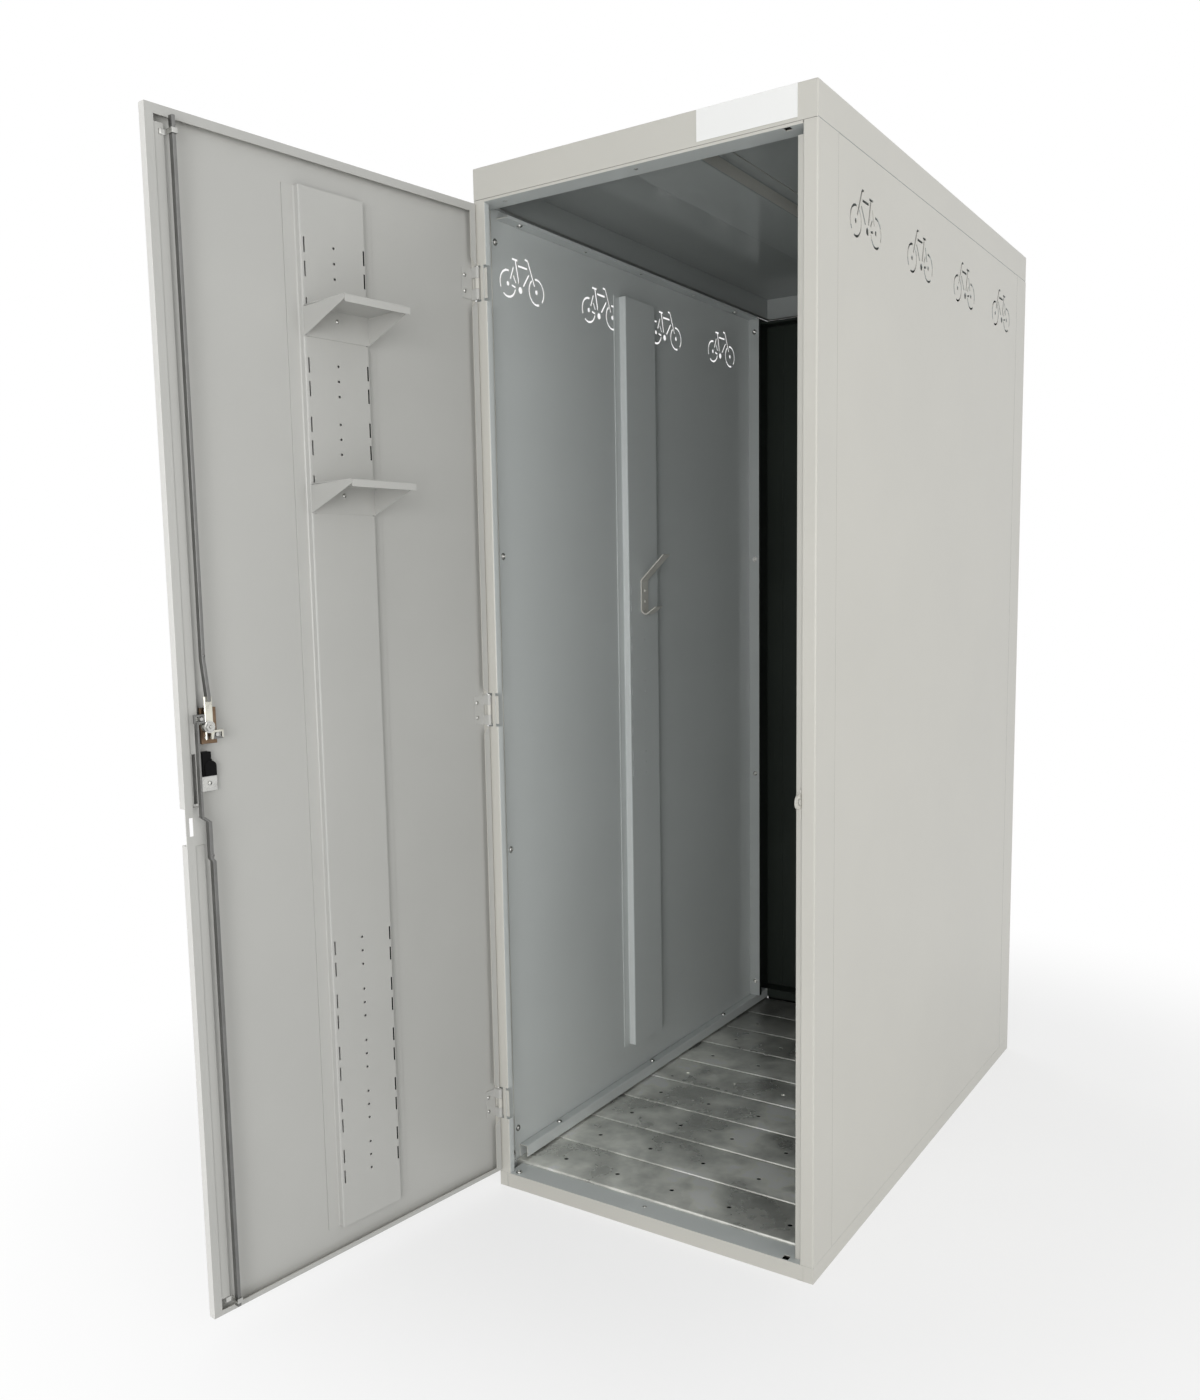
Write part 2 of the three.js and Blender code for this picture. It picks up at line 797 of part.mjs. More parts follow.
// Channel on the left wall, with its perforation
function wallChannel() {
  const wall = -right + sheet + seam;
  const line = hatLine(wallChannelMiddle, wallCrownWidth, wallFlange, wallChannelDepth);
  const outline = folded(bent(line.map(([u, v]) => [wall + v, u]).reverse()));
  const channel = prism(outline, 'z', 
    [lapBottom + wallChannelBottomInset, cabinetHeight - wallChannelTopInset]);
  const through = [wall + sheet + seam, wall + wallChannelDepth + cutOverrun];
  const edge = wallChannelMiddle - wallCrownWidth / 2 + wallSlotInset;
  const holes = holeColumn(wallGroups, wallHoleTop, (z) => round([wallChannelMiddle, z], holeRadius,
    'x', through, roundSides / 2));
  const slots = slotColumn(wallGroups, wallHoleTop, (z) => block(through,
    [edge - slotWidth / 2, edge + slotWidth / 2], [z, z + slotLength]));
  return cutBy(channel, [...holes, ...slots]);
}

// Coat hook: one bent strip, long arm above and a small curl below
function coatHook() {
  const face = -right + sheet + seam + wallChannelDepth + seam;
  const bottom = hookBendHeight - hookPlateHeight;
  const line = [
    [face + hookTipReach, hookBendHeight + hookTipRise],
    [face, hookBendHeight],
    [face, bottom],
    [face + hookCurlReach, bottom - hookCurlDrop],
    [face + hookLowReach, bottom + hookLowRise],
  ];
  return prism(folded(bent(line, hookBendRadius), hookThickness), 'y',
    [wallChannelMiddle - hookWidth / 2, wallChannelMiddle + hookWidth / 2]);
}

// Padlock eye, set on the inner wall of the right front post
function padlockEye() {
  const face = [postInner - seam - eyeThickness, postInner - seam];
  const ringY = front - eyeReach + eyeRadius;
  const base = block(face, [front + sheet, front + rebateDepth - sheet], [eyeBaseBottom, eyeBaseTop]);
  const neck = block(face, [ringY, front + lap], [eyeHeight - eyeRadius, eyeHeight + eyeRadius]);
  const ring = round([ringY, eyeHeight], eyeRadius, 'x', face, eyeSides);
  const through = [face[0] - cutOverrun, face[1] + cutOverrun];
  const hole = round([ringY, eyeHeight], eyeHoleRadius, 'x', through, roundSides);
  return joined([base, neck, ring]).subtract(hole);
}

// Door pan in its own frame: x from the hinge edge, y into the cabinet, z up
function doorPan() {
  const shell = block([0, doorWidth], [-doorThickness, 0], [doorBottom, doorTop]);
  const room = block([sheet, doorWidth - sheet], [panInside, -sheet],
    [doorBottom + sheet, doorTop - sheet]);
  const mouth = block([hingeLip, doorWidth - freeLip], [-sheet - seam, cutOverrun],
    [doorBottom + bottomLip, doorTop - topLip]);
  const dish = block([dishStart, doorWidth], [-doorThickness, 0], [dishBottom, dishTop]);
  const dishRoom = block([dishStart + sheet, doorWidth + cutOverrun],
    [-doorThickness - cutOverrun, -sheet], [dishBottom + sheet, dishTop - sheet]);
  const eyeAcross = postInner - seam - eyeThickness / 2 - hingeX;
  const eyeHalf = eyeThickness / 2 + eyeSlotClearance;
  const eyeSlot = block([eyeAcross - eyeHalf, eyeAcross + eyeHalf], [-lap, cutOverrun],
    [eyeHeight - eyeRadius - eyeSlotClearance, eyeHeight + eyeRadius + eyeSlotClearance]);
  const through = [-doorThickness - cutOverrun, -sheet - seam];
  const spindleHole = round([spindleAcross, spindleHeight], spindleRadius + slack, 'y', through);
  const blockHole = block([blockStart + blockStep - seam, blockEnd + seam], through,
    [blockBottom - seam, blockTop + seam]);
  const bossHole = block([bossSpan[0] - seam, bossSpan[1] + seam], through,
    [blockBottom - seam, bossTop + seam]);
  const cuts = hingeHeights.flatMap((height) => [lipNotch(height), edgeNotch(height)]);
  const pan = cutBy(shell, [room, mouth]).add(dish);
  return cutBy(pan, [dishRoom, eyeSlot, spindleHole, blockHole, bossHole, ...cuts]);
}

// Notch in the hinge lip, with ends at 45 degrees
function lipNotch(height) {
  const half = lipNotchHeight / 2;
  const outline = [
    [sheet, height - half],
    [hingeLip + cutOverrun, height - half - hingeLip - cutOverrun + sheet],
    [hingeLip + cutOverrun, height + half + hingeLip + cutOverrun - sheet],
    [sheet, height + half],
  ];
  return prism(outline, 'y', [-sheet - seam, cutOverrun]);
}

// Notch in the hinge edge of the door, round the knuckles
function edgeNotch(height) {
  const reach = knuckleRadius + knuckleClearance;
  return block([-cutOverrun, reach], [-reach, cutOverrun], [height - hingeHalf, height + hingeHalf]);
}

// Spans of the three knuckles of a hinge, from the bottom up
function knuckleSpans(height) {
  const low = height - knuckleHeight - knuckleHeight / 2;
  return [0, 1, 2].map((i) => [
    low + i * knuckleHeight + (i > 0 ? seam : 0),
    low + (i + 1) * knuckleHeight - (i === 2 ? 0 : seam / 2),
  ]);
}

const boreRadius = pinRadius + pinClearance;
const bore = (at, height) => round(at, boreRadius, 'z',
  [height - leafHeight, height + leafHeight]);

// Hinge leaf on the post: middle knuckle, and a plate behind the face of the post
function frameLeaf(height) {
  const span = knuckleSpans(height)[1];
  const knuckle = round([hingeX, hingeY], knuckleRadius, 'z', span);
  const plateY = [front + lap, front + lap + sheet];
  const neck = block([hingeX - sheet / 2, hingeX + sheet / 2], [hingeY + pinRadius, plateY[1]], span);
  const plate = block([hingeX - sheet, hingeX + frameLeafWidth - sheet], plateY,
    [height - leafHeight / 2, height + leafHeight / 2]);
  return joined([knuckle, neck, plate]).subtract(bore([hingeX, hingeY], height));
}

// Hinge leaf on the door: outer knuckles, and a plate on the inside of the pan
function doorLeaf(height) {
  const spans = knuckleSpans(height);
  const outer = [spans[0], spans[2]];
  const knuckles = outer.map((span) => round([0, 0], knuckleRadius, 'z', span));
  const low = panInside + seam;
  const necks = outer.map((span) => block([pinRadius, knuckleRadius], [low, 0], span));
  const plate = block([pinRadius, leafWidth], [low, low + sheet],
    [height - leafHeight / 2, height + leafHeight / 2]);
  return joined([...knuckles, ...necks, plate]).subtract(bore([0, 0], height));
}

function hingePin(height) {
  const top = height + knuckleHeight + knuckleHeight / 2;
  const shaft = round([hingeX, hingeY], pinRadius, 'z', [height - leafHeight / 2, top + seam]);
  const head = round([hingeX, hingeY], pinHeadRadius, 'z', [top + seam, top + seam + pinHeadHeight]);
  return shaft.add(head);
}

// Channel on the door, perforated in two mirrored fields
function doorChannel() {
  const middle = doorChannelStart + doorCrownWidth / 2;
  const low = panInside + seam;
  const line = hatLine(middle, doorCrownWidth, doorFlange, -low);
  const outline = folded(bent(line.map(([u, v]) => [u, low + v])));
  const channel = prism(outline, 'z', [doorChannelBottom, doorChannelTop]);
  const through = [-sheet - seam, cutOverrun];
  const mirror = doorChannelBottom + doorChannelTop;
  const hole = (z) => round([middle, z], holeRadius, 'y', through, roundSides / 2);
  const slotAt = (across) => (z) => block([across - slotWidth / 2, across + slotWidth / 2], through,
    [z, z + slotLength]);
  const columns = [
    doorChannelStart + doorNearSlotInset,
    doorChannelStart + doorCrownWidth - doorFarSlotInset,
  ];
  const cuts = [
    ...holeColumn(doorGroups, doorHoleTop, hole),
    ...holeColumn(doorGroups, doorHoleTop, (z) => hole(mirror - z)),
  ];
  columns.map(slotAt).forEach((slot) => {
    cuts.push(...slotColumn(doorGroups, doorHoleTop, slot));
    cuts.push(...slotColumn(doorGroups, doorHoleTop, (z) => slot(mirror - z - slotLength)));
  });
  return cutBy(channel, cuts);
}

// Shelf: top, back plate, front lip and a gusset at each end
function shelf(top) {
  const start = doorChannelStart;
  const end = doorChannelStart + doorCrownWidth;
  const outline = [
    [seam, top - shelfBack],
    [seam, top],
    [seam + shelfDepth, top],
    [seam + shelfDepth, top - shelfLip],
  ];
  const plate = prism(folded(bent([...outline].reverse())), 'x', [start, end]);
  const side = [
    [seam, top - shelfBack],
    [seam, top - bendRadius],
    [seam + shelfDepth - bendRadius, top - sheet / 2],
    [seam + shelfDepth - sheet / 2, top - gussetTip / 2],
  ];
  const gussets = [[start, start + sheet], [end - sheet, end]].map((span) => prism(side, 'x', span));
  return joined([plate, ...gussets]);
}

// Stiffener along the free edge, with the slot beside the lock
function edgeStiffener() {
  const low = panInside + seam;
  const high = -sheet - seam;
  const end = doorWidth - sheet - stiffenerEdgeGap;
  const web = stiffenerStart + stiffenerFlange;
  const line = [[end, high], [web, high], [web, low + sheet], [stiffenerStart, low + sheet]];
  const strip = prism(folded(line), 'z',
    [doorBottom + stiffenerBottomInset, doorTop - stiffenerTopInset]);
  const dish = block([dishStart - seam, doorWidth], [-doorThickness, cutOverrun],
    [dishBottom - seam, dishTop + seam]);
  const slotStart = doorWidth - lockSlotInset;
  const slotTop = spindleHeight - lockSlotDrop;
  const slot = block([slotStart, slotStart + lockSlotWidth], [high - lap, cutOverrun],
    [slotTop - lockSlotHeight, slotTop]);
  const blockRoom = block([stiffenerStart - cutOverrun, clampStart + clampWidth + slack],
    [-doorThickness, cutOverrun], [clampBottom - slack, blockTop + slack]);
  const spindleRoom = block([stiffenerStart - cutOverrun, spindleAcross + spindleRadius + slack],
    [-doorThickness, cutOverrun], [spindleHeight - leverHubRadius, spindleHeight + leverHubRadius]);
  return cutBy(strip, [dish, slot, blockRoom, spindleRoom]);
}

// Guide that holds a rod: a strap loop with a leg and a tab on the stiffener
function rodGuide(height) {
  const start = rodAcross - rodWidth / 2 - guidePlay - guideWall;
  const end = rodAcross + rodWidth / 2 + guidePlay + guideWall;
  const high = rodLift + rodDepth + guidePlay + guideWall;
  const span = [height - guideHeight / 2, height + guideHeight / 2];
  const loop = block([start, end], [rodLift - guidePlay - guideWall, high], span);
  const leg = block([end - guideWall, end], [-sheet, high], span);
  const tab = block([end - guideWall, doorWidth - guideInset], [-sheet, guideWall - sheet], span);
  const room = block([rodAcross - rodWidth / 2 - guidePlay, rodAcross + rodWidth / 2 + guidePlay],
    [rodLift - guidePlay, rodLift + rodDepth + guidePlay], [span[0] - cutOverrun, span[1] + cutOverrun]);
  return joined([loop, leg, tab]).subtract(room);
}

// Flat bar along a line in the plane of the door, as deep as a rod
function rodBar(points, width) {
  const half = width / 2;
  const edge = points.map(([u, v]) => [u - half, v]);
  const other = points.map(([u, v]) => [u + half, v]);
  return prism([...edge, ...other.reverse()], 'y', [rodLift, rodLift + rodDepth]);
}

// Foot of a rod: a plate with the window that the cam pin works in
function rodFoot(side, [bottom, top]) {
  const pinZ = spindleHeight + side * lockRise;
  const nearPin = spindleAcross + side * lockRise;
  const farPin = spindleAcross + side * camRadius;
  const reach = camPinRadius + camPlay;
  const low = Math.min(nearPin, farPin) - reach;
  const high = Math.max(nearPin, farPin) + reach;
  const lift = [footLift, footLift + footThickness];
  const plate = block([low - footWall, high + footWall], lift, [bottom, top]);
  const window = block([low, high], [footLift - cutOverrun, footLift + footThickness + cutOverrun],
    [pinZ - camPinRadius - camPinSlack, pinZ + camPinRadius + camPinSlack]);
  return plate.subtract(window);
}

function upperRod() {
  const crankAcross = rodAcross - upperCrankShift;
  const crankBottom = spindleHeight + upperCrankRise;
  const bar = rodBar([
    [rodAcross, doorTop - upperTipInset],
    [rodAcross, crankBottom + upperCrankLength],
    [crankAcross, crankBottom],
    [crankAcross, spindleHeight + upperFootRise],
  ], rodWidth);
  const pinZ = spindleHeight - lockRise;
  const wall = camPinRadius + camPinSlack + footWall;
  const foot = rodFoot(-1, [pinZ - wall, pinZ + wall]);
  const fork = block([spindleAcross - forkNear, spindleAcross + forkFar],
    [footLift, footLift + footThickness], [pinZ - wall, crankBottom]);
  const across = [spindleAcross - threadRadius - slack, spindleAcross + threadRadius + slack];
  const slot = block(across, [footLift - cutOverrun, footLift + footThickness + cutOverrun],
    [pinZ - wall - cutOverrun, spindleHeight + threadRadius + forkRise]);
  return joined([bar, foot, fork.subtract(slot)]);
}

function lowerRod() {
  const linkAcross = rodAcross + linkShift;
  const crankAcross = rodAcross + lowerCrankShift;
  const top = spindleHeight + lockRise + camPinRadius + camPinSlack + footWall;
  const bottom = spindleHeight + lockRise - camPinRadius - camPinSlack - footWall;
  const crankTop = spindleHeight - lowerCrankDrop;
  const jointTop = spindleHeight - lowerJointDrop;
  const link = rodBar([[linkAcross, bottom + footWall / 2], [linkAcross, crankTop]], linkWidth);
  const bar = rodBar([
    [linkAcross, crankTop],
    [crankAcross, crankTop - lowerCrankLength],
    [crankAcross, jointTop],
    [rodAcross, jointTop - lowerJointLength],
    [rodAcross, doorBottom + lowerTipInset],
  ], rodWidth);
  return joined([link, bar, rodFoot(1, [bottom, top])]);
}

// Bracket that carries the inner end of the spindle
function lockBracket() {
  const span = [spindleHeight - bracketBelow, spindleHeight + bracketAbove];
  const start = doorWidth - bracketInset;
  const end = start + bracketWidth;
  const high = bracketLift + bracketThickness;
  const crown = block([start, end], [bracketLift, high], span);
  const tall = block([start, start + bracketThickness], [panInside + seam, high], span);
  const short = block([end - bracketThickness, end], [-sheet, high], span);
  const hole = round([spindleAcross, spindleHeight], spindleRadius + spindleClearance, 'y',
    [-sheet, high + cutOverrun]);
  return joined([crown, tall, short]).subtract(hole);
}

// Cam with its two pins, turned by the spindle
function lockCam() {
  const lift = [camLift, camLift + camThickness];
  const pins = [-1, 1].map((side) => [spindleAcross + side * lockRise, spindleHeight + side * lockRise]);
  const arm = [
    [pins[0][0] - camEnd * Math.SQRT1_2, pins[0][1] + camEnd * Math.SQRT1_2],
    [pins[0][0] + camEnd * Math.SQRT1_2, pins[0][1] - camEnd * Math.SQRT1_2],
    [pins[1][0] + camEnd * Math.SQRT1_2, pins[1][1] - camEnd * Math.SQRT1_2],
    [pins[1][0] - camEnd * Math.SQRT1_2, pins[1][1] + camEnd * Math.SQRT1_2],
  ];
  const ends = pins.map((pin) => round(pin, camEnd, 'y', lift));
  const hub = round([spindleAcross, spindleHeight], spindleRadius + footWall, 'y', lift);
  const studs = pins.map((pin) => round(pin, camPinRadius, 'y', [camLift, camPinLift]));
  const hole = round([spindleAcross, spindleHeight], spindleRadius + seam, 'y',
    [camLift - cutOverrun, camPinLift + cutOverrun]);
  return joined([prism(arm, 'y', lift), ...ends, hub]).subtract(hole).add(joined(studs));
}

// Spindle, from inside the lever to a threaded end where the washer and nut sit
const washerLift = footLift + footThickness + seam;
const plateFace = -doorThickness - seam - plateThickness;
const leverFace = plateFace - leverProud;
function handleSpindle() {
  const start = leverFace - leverThickness / 2 + seam;
  const shaft = round([spindleAcross, spindleHeight], spindleRadius, 'y', [start, footLift - seam]);
  const thread = round([spindleAcross, spindleHeight], threadRadius, 'y', [start, spindleEnd]);
  return shaft.add(thread);
}

function spindleNut() {
  const washer = round([spindleAcross, spindleHeight], washerRadius, 'y',
    [washerLift, washerLift + washerThickness], eyeSides);
  const nut = round([spindleAcross, spindleHeight], nutRadius, 'y',
    [washerLift, washerLift + washerThickness + nutHeight], roundSides / 2);
  const hole = round([spindleAcross, spindleHeight], threadRadius + seam, 'y',
    [washerLift - cutOverrun, spindleEnd + cutOverrun]);
  return washer.add(nut).subtract(hole);
}

// Plate under the handle, with the block that reaches through the door
function handlePlate() {
  const plateStart = doorWidth - plateInset;
  const plate = block([plateStart, plateStart + plateWidth], [plateFace, -doorThickness - seam],
    [spindleHeight - plateBelow, spindleHeight + plateAbove]);
  const body = block([blockStart + blockStep, blockEnd], [plateFace, blockLift],
    [blockBottom, blockTop]);
  const bossLift = [plateFace, blockLift + bossProud];
  const boss = block(bossSpan, bossLift, [blockBottom, bossTop - bossRadius]);
  const arch = round([blockStart + bossRadius, bossTop - bossRadius], bossRadius, 'y', bossLift,
    eyeSides);
  const hole = round([spindleAcross, spindleHeight], spindleRadius + slack, 'y',
    [plateFace - cutOverrun, -doorThickness + cutOverrun]);
  return joined([plate, body, boss, arch]).subtract(hole);
}

// Clamp that holds the block from inside
function handleClamp() {
  const low = panInside + seam;
  const across = [clampStart, clampStart + clampWidth];
  const top = block(across, [clampLift, clampLift + clampThickness], [clampBottom, clampTop]);
  const leg = block(across, [low, clampLift + clampThickness],
    [clampBottom, clampBottom + clampThickness]);
  return top.add(leg);
}

// Lever on the spindle, hanging down and proud of its plate
function handleLever() {
  const lift = [leverFace - leverThickness, leverFace];
  const hub = round([spindleAcross, spindleHeight], leverHubRadius, 'y', lift, eyeSides);
  const socket = round([spindleAcross, spindleHeight], leverHubRadius - footWall, 'y',
    [leverFace - seam, plateFace - seam], eyeSides);
  const half = leverWidth / 2;
  const tip = half * leverTaperShare;
  const arm = prism([
    [spindleAcross - half, spindleHeight],
    [spindleAcross - tip, spindleHeight - leverLength],
    [spindleAcross + tip, spindleHeight - leverLength],
    [spindleAcross + half, spindleHeight],
  ], 'y', lift);
  const hole = round([spindleAcross, spindleHeight], spindleRadius + seam, 'y',
    [leverFace - leverThickness / 2, plateFace + cutOverrun]);
  return joined([hub, socket, arm]).subtract(hole);
}

place(locker, 'sill_front', frontSill(), paint);
place(locker, 'sill_rear', rearSill(), paint);
place(locker, 'sill_left', sideSill(-1), paint);
place(locker, 'sill_right', sideSill(1), paint);
place(locker, 'base_cross_rail', crossRail(), zinc);
for (let i = 0; i < plankCount; i += 1) {
  place(locker, `floor_plank_${i + 1}`, plank(i), zinc);
}
place(locker, 'post_front_left', frontPost(-1), paint);
place(locker, 'post_front_right', frontPost(1), paint);
place(locker, 'post_rear_left', rearPost(-1), paint);
place(locker, 'post_rear_right', rearPost(1), paint);
place(locker, 'header_front', frontHeader(), paint);
place(locker, 'header_rear', rearHeader(), paint);
place(locker, 'top_rail_left', topRail(-1), paint);
place(locker, 'top_rail_right', topRail(1), paint);
place(locker, 'roof_cap', roofCap(), paint);
place(locker, 'roof_stiffener', roofStiffener(), paint);
place(locker, 'sign_plate', signPlate(), whitePlate);
place(locker, 'side_panel_left', sidePanel(-1), paint);
place(locker, 'side_panel_right', sidePanel(1), paint);
place(locker, 'rear_panel', rearPanel(), paint);
place(locker, 'wall_channel', wallChannel(), paint);
place(locker, 'coat_hook', coatHook(), paint);
place(locker, 'padlock_eye', padlockEye(), paint);

hingeHeights.forEach((height, i) => {
  place(locker, `hinge_frame_leaf_${i + 1}`, frameLeaf(height), paint);
  place(locker, `hinge_pin_${i + 1}`, hingePin(height), steel);
  place(doorGroup, `hinge_door_leaf_${i + 1}`, doorLeaf(height), paint);
});

place(doorGroup, 'door_pan', doorPan(), paint);
place(doorGroup, 'door_edge_stiffener', edgeStiffener(), paint);
place(doorGroup, 'door_channel', doorChannel(), paint);
place(doorGroup, 'shelf_lower', shelf(doorTop - shelfDrops[0]), paint);
place(doorGroup, 'shelf_upper', shelf(doorTop - shelfDrops[1]), paint);
place(doorGroup, 'rod_guide_lower', rodGuide(doorBottom + guideBottomInset), steel);
place(doorGroup, 'rod_guide_upper', rodGuide(doorTop - guideTopInset), steel);
place(doorGroup, 'lock_bracket', lockBracket(), yellowZinc);
place(doorGroup, 'handle_plate', handlePlate(), blackPlastic);
place(doorGroup, 'handle_clamp', handleClamp(), steel);
place(doorGroup, 'upper_rod', upperRod(), steel);
place(doorGroup, 'lower_rod', lowerRod(), steel);
place(doorGroup, 'lock_cam', lockCam(), steel);
place(doorGroup, 'handle_spindle', handleSpindle(), steel);
place(doorGroup, 'spindle_nut', spindleNut(), steel);
place(doorGroup, 'handle_lever', handleLever(), blackPlastic);

export default locker;
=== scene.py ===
import json
import math

import bmesh
import bpy
from bpy.props import FloatProperty, FloatVectorProperty, IntProperty, PointerProperty
from mathutils import Matrix, Vector
from mathutils.bvhtree import BVHTree


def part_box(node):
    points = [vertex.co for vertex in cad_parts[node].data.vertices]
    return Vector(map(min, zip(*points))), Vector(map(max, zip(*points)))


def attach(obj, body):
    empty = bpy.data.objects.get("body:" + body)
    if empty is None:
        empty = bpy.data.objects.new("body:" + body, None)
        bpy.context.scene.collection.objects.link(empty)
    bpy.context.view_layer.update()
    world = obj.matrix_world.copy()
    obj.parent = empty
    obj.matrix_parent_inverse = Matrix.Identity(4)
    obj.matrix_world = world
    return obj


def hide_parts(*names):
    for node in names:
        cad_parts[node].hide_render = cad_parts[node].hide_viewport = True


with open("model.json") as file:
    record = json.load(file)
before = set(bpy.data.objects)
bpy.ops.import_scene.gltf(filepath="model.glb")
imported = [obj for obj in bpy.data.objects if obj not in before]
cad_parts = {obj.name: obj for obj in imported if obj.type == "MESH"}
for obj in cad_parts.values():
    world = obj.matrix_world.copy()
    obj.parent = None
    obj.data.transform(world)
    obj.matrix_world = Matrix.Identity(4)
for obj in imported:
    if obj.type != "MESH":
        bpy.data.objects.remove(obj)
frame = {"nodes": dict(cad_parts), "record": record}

bl_info = {
    "name": "Bicycle Locker",
    "version": (1, 0, 0),
    "blender": (4, 5, 0),
    "location": "View3D > Sidebar > Locker",
    "description": "Finishes the pieces of an upright steel bicycle locker",
    "category": "Object",
}

NODES = frame["nodes"]
MM = 0.001

# Body that each CAD node rides on
BODY_OF = {
    node: body
    for body, members in frame["record"]["behaviour"]["bodies"].items()
    for node in members
}

# Cabinet frame in millimetres, as in the CAD
WIDTH = 700.0
DEPTH = 1300.0
HEIGHT = 2030.0
SHEET = 1.5
SEAM = 0.3
RIGHT = WIDTH / 2
BACK = DEPTH / 2

# Door frame in millimetres: across from the hinge edge, lift into the cabinet, and up
DOOR_PIVOT = (-343.0, -653.0)
DOOR_OPENING = 97.48
DOOR_TURN = (
    Matrix.Translation(Vector((*DOOR_PIVOT, 0)) * MM)
    @ Matrix.Rotation(-math.radians(DOOR_OPENING), 4, "Z")
)

# Materials of a cabinet piece. Number 0 is its outside's. Then come its inside's, a copy of
# the coat made lighter for some pieces and darker for others as painted light and shade, that
# of inner faces that look forward, darker with painted shade, and that of broken edges, with
# dust and painted shade.
INNER_MARK, FRONT_MARK, SEAM_MARK = 1, 2, 3

# With this mark a new face gets the material of its neighbours
SAME_MARK = -1

# Faces that look forward from further back than this take the rear's dark painted shade, in
# metres
REAR_FRONTS = 0.56

# Least part of a face's normal that makes it look one way
LOOKS_FORWARD = 0.7
LOOKS_ALONG = 0.5

# Mesh work in metres: welding distance, then the angles, how far a thin and a wide face
# go from their edge, how long a rim is, and how much flat faces rule the shading
WELD = 2e-6
FLAT_ANGLE = math.radians(0.6)
SMOOTH_ANGLE = math.radians(32)
CORNER_ANGLE = math.radians(50)
THIN_REACH = SHEET * MM * 0.9
WIDE_REACH = 3.5 * MM
RIM_LENGTH = 30.0 * MM
FLAT_FACE_WEIGHT = 90

# Outer radii of folds other than those of the large sheets
PAN_RADIUS = 0.7 * MM
LOCK_RADIUS = 0.5 * MM
ROD_RADIUS = 0.8 * MM
HINGE_RADIUS = 0.3 * MM


# ------------ user values
class LockerFinish(bpy.types.PropertyGroup):
    paint: FloatVectorProperty(
        name="Paint", description="Colour of the powder coat", subtype="COLOR",
        size=3, min=0, max=1, default=(0.562, 0.550, 0.506))
    # Painted light: the coat inside the cabinet is lighter and cooler than the same coat
    # outside
    inside_lit_paint: FloatVectorProperty(
        name="Paint inside", description="Colour of the powder coat inside the cabinet",
        subtype="COLOR", size=3, min=0, max=1, default=(0.595, 0.622, 0.616))
    # Painted shade: a near-black coat stands in for the shade inside the rear of the cabinet
    rear_shade_paint: FloatVectorProperty(
        name="Paint at the rear", description="Colour of the coat inside the rear panel",
        subtype="COLOR", size=3, min=0, max=1, default=(0.020, 0.025, 0.021))
    # Painted shade: the coat under the roof and on forward faces inside is darker than outside
    ceiling_shade_paint: FloatVectorProperty(
        name="Paint of the ceiling", description="Colour of the glossy coat under the roof",
        subtype="COLOR", size=3, min=0, max=1, default=(0.370, 0.390, 0.385))
    # Dust and painted shade: a dark coat on the broken rims along the seams
    seam_dust_shade_paint: FloatVectorProperty(
        name="Paint in the seams", description="Colour of the dusty coat along the seams",
        subtype="COLOR", size=3, min=0, max=1, default=(0.270, 0.262, 0.240))
    # Painted highlight: the door's free edge is lighter than the same coat elsewhere
    edge_highlight_paint: FloatVectorProperty(
        name="Paint of the free edge", description="Colour of the coat on the door's free edge",
        subtype="COLOR", size=3, min=0, max=1, default=(0.760, 0.750, 0.720))
    # Painted shade: the door's inside is darker than the same coat outside
    door_shade_paint: FloatVectorProperty(
        name="Paint inside the door", description="Colour of the coat on the door's inside",
        subtype="COLOR", size=3, min=0, max=1, default=(0.474, 0.472, 0.452))
    paint_roughness: FloatProperty(
        name="Paint roughness", description="Roughness of the powder coat",
        subtype="FACTOR", min=0, max=1, default=0.32)
    inside_roughness: FloatProperty(
        name="Inside roughness", description="Roughness of the powder coat inside",
        subtype="FACTOR", min=0, max=1, default=0.15)
    peel_height: FloatProperty(
        name="Orange peel", description="Strength of the fine waves in the powder coat",
        subtype="FACTOR", min=0, max=1, default=0.10)
    zinc: FloatVectorProperty(
        name="Galvanised sheet", description="Colour of the galvanised floor",
        subtype="COLOR", size=3, min=0, max=1, default=(0.84, 0.84, 0.79))
    plating: FloatVectorProperty(
        name="Zinc plating", description="Colour of the plated lock parts and screws",
        subtype="COLOR", size=3, min=0, max=1, default=(0.52, 0.52, 0.50))
    bar_steel: FloatVectorProperty(
        name="Bar steel", description="Colour of the two lock rods",
        subtype="COLOR", size=3, min=0, max=1, default=(0.20, 0.20, 0.195))


class LockerFolds(bpy.types.PropertyGroup):
    fold_radius: FloatProperty(
        name="Fold radius", description="Outer radius of the folds of the sheet",
        subtype="DISTANCE", unit="LENGTH", min=0, default=2.4 * MM)
    rim_radius: FloatProperty(
        name="Rim radius", description="Width of the broken edge along a cut rim",
        subtype="DISTANCE", unit="LENGTH", min=0, default=0.7 * MM)
    fold_steps: IntProperty(
        name="Fold steps", description="Faces across one fold", min=1, max=8, default=3)


class LockerFloor(bpy.types.PropertyGroup):
    edge_radius: FloatProperty(
        name="Plank edge radius", description="Radius of the rolled edges of a plank",
        subtype="DISTANCE", unit="LENGTH", min=0, default=2.4 * MM)
    hole_count: IntProperty(
        name="Holes", description="Holes along a plank", min=1, max=30, default=5)
    hole_inset: FloatProperty(
        name="Hole inset", description="Distance of the holes from the plank's front edge",
        subtype="DISTANCE", unit="LENGTH", min=0, default=55.0 * MM)
    hole_radius: FloatProperty(
        name="Hole radius", description="Radius of the holes in the planks",
        subtype="DISTANCE", unit="LENGTH", min=0, default=5.0 * MM)
    hole_pitch: FloatProperty(
        name="Hole pitch", description="Distance between the holes of a plank",
        subtype="DISTANCE", unit="LENGTH", min=0, default=128.5 * MM)


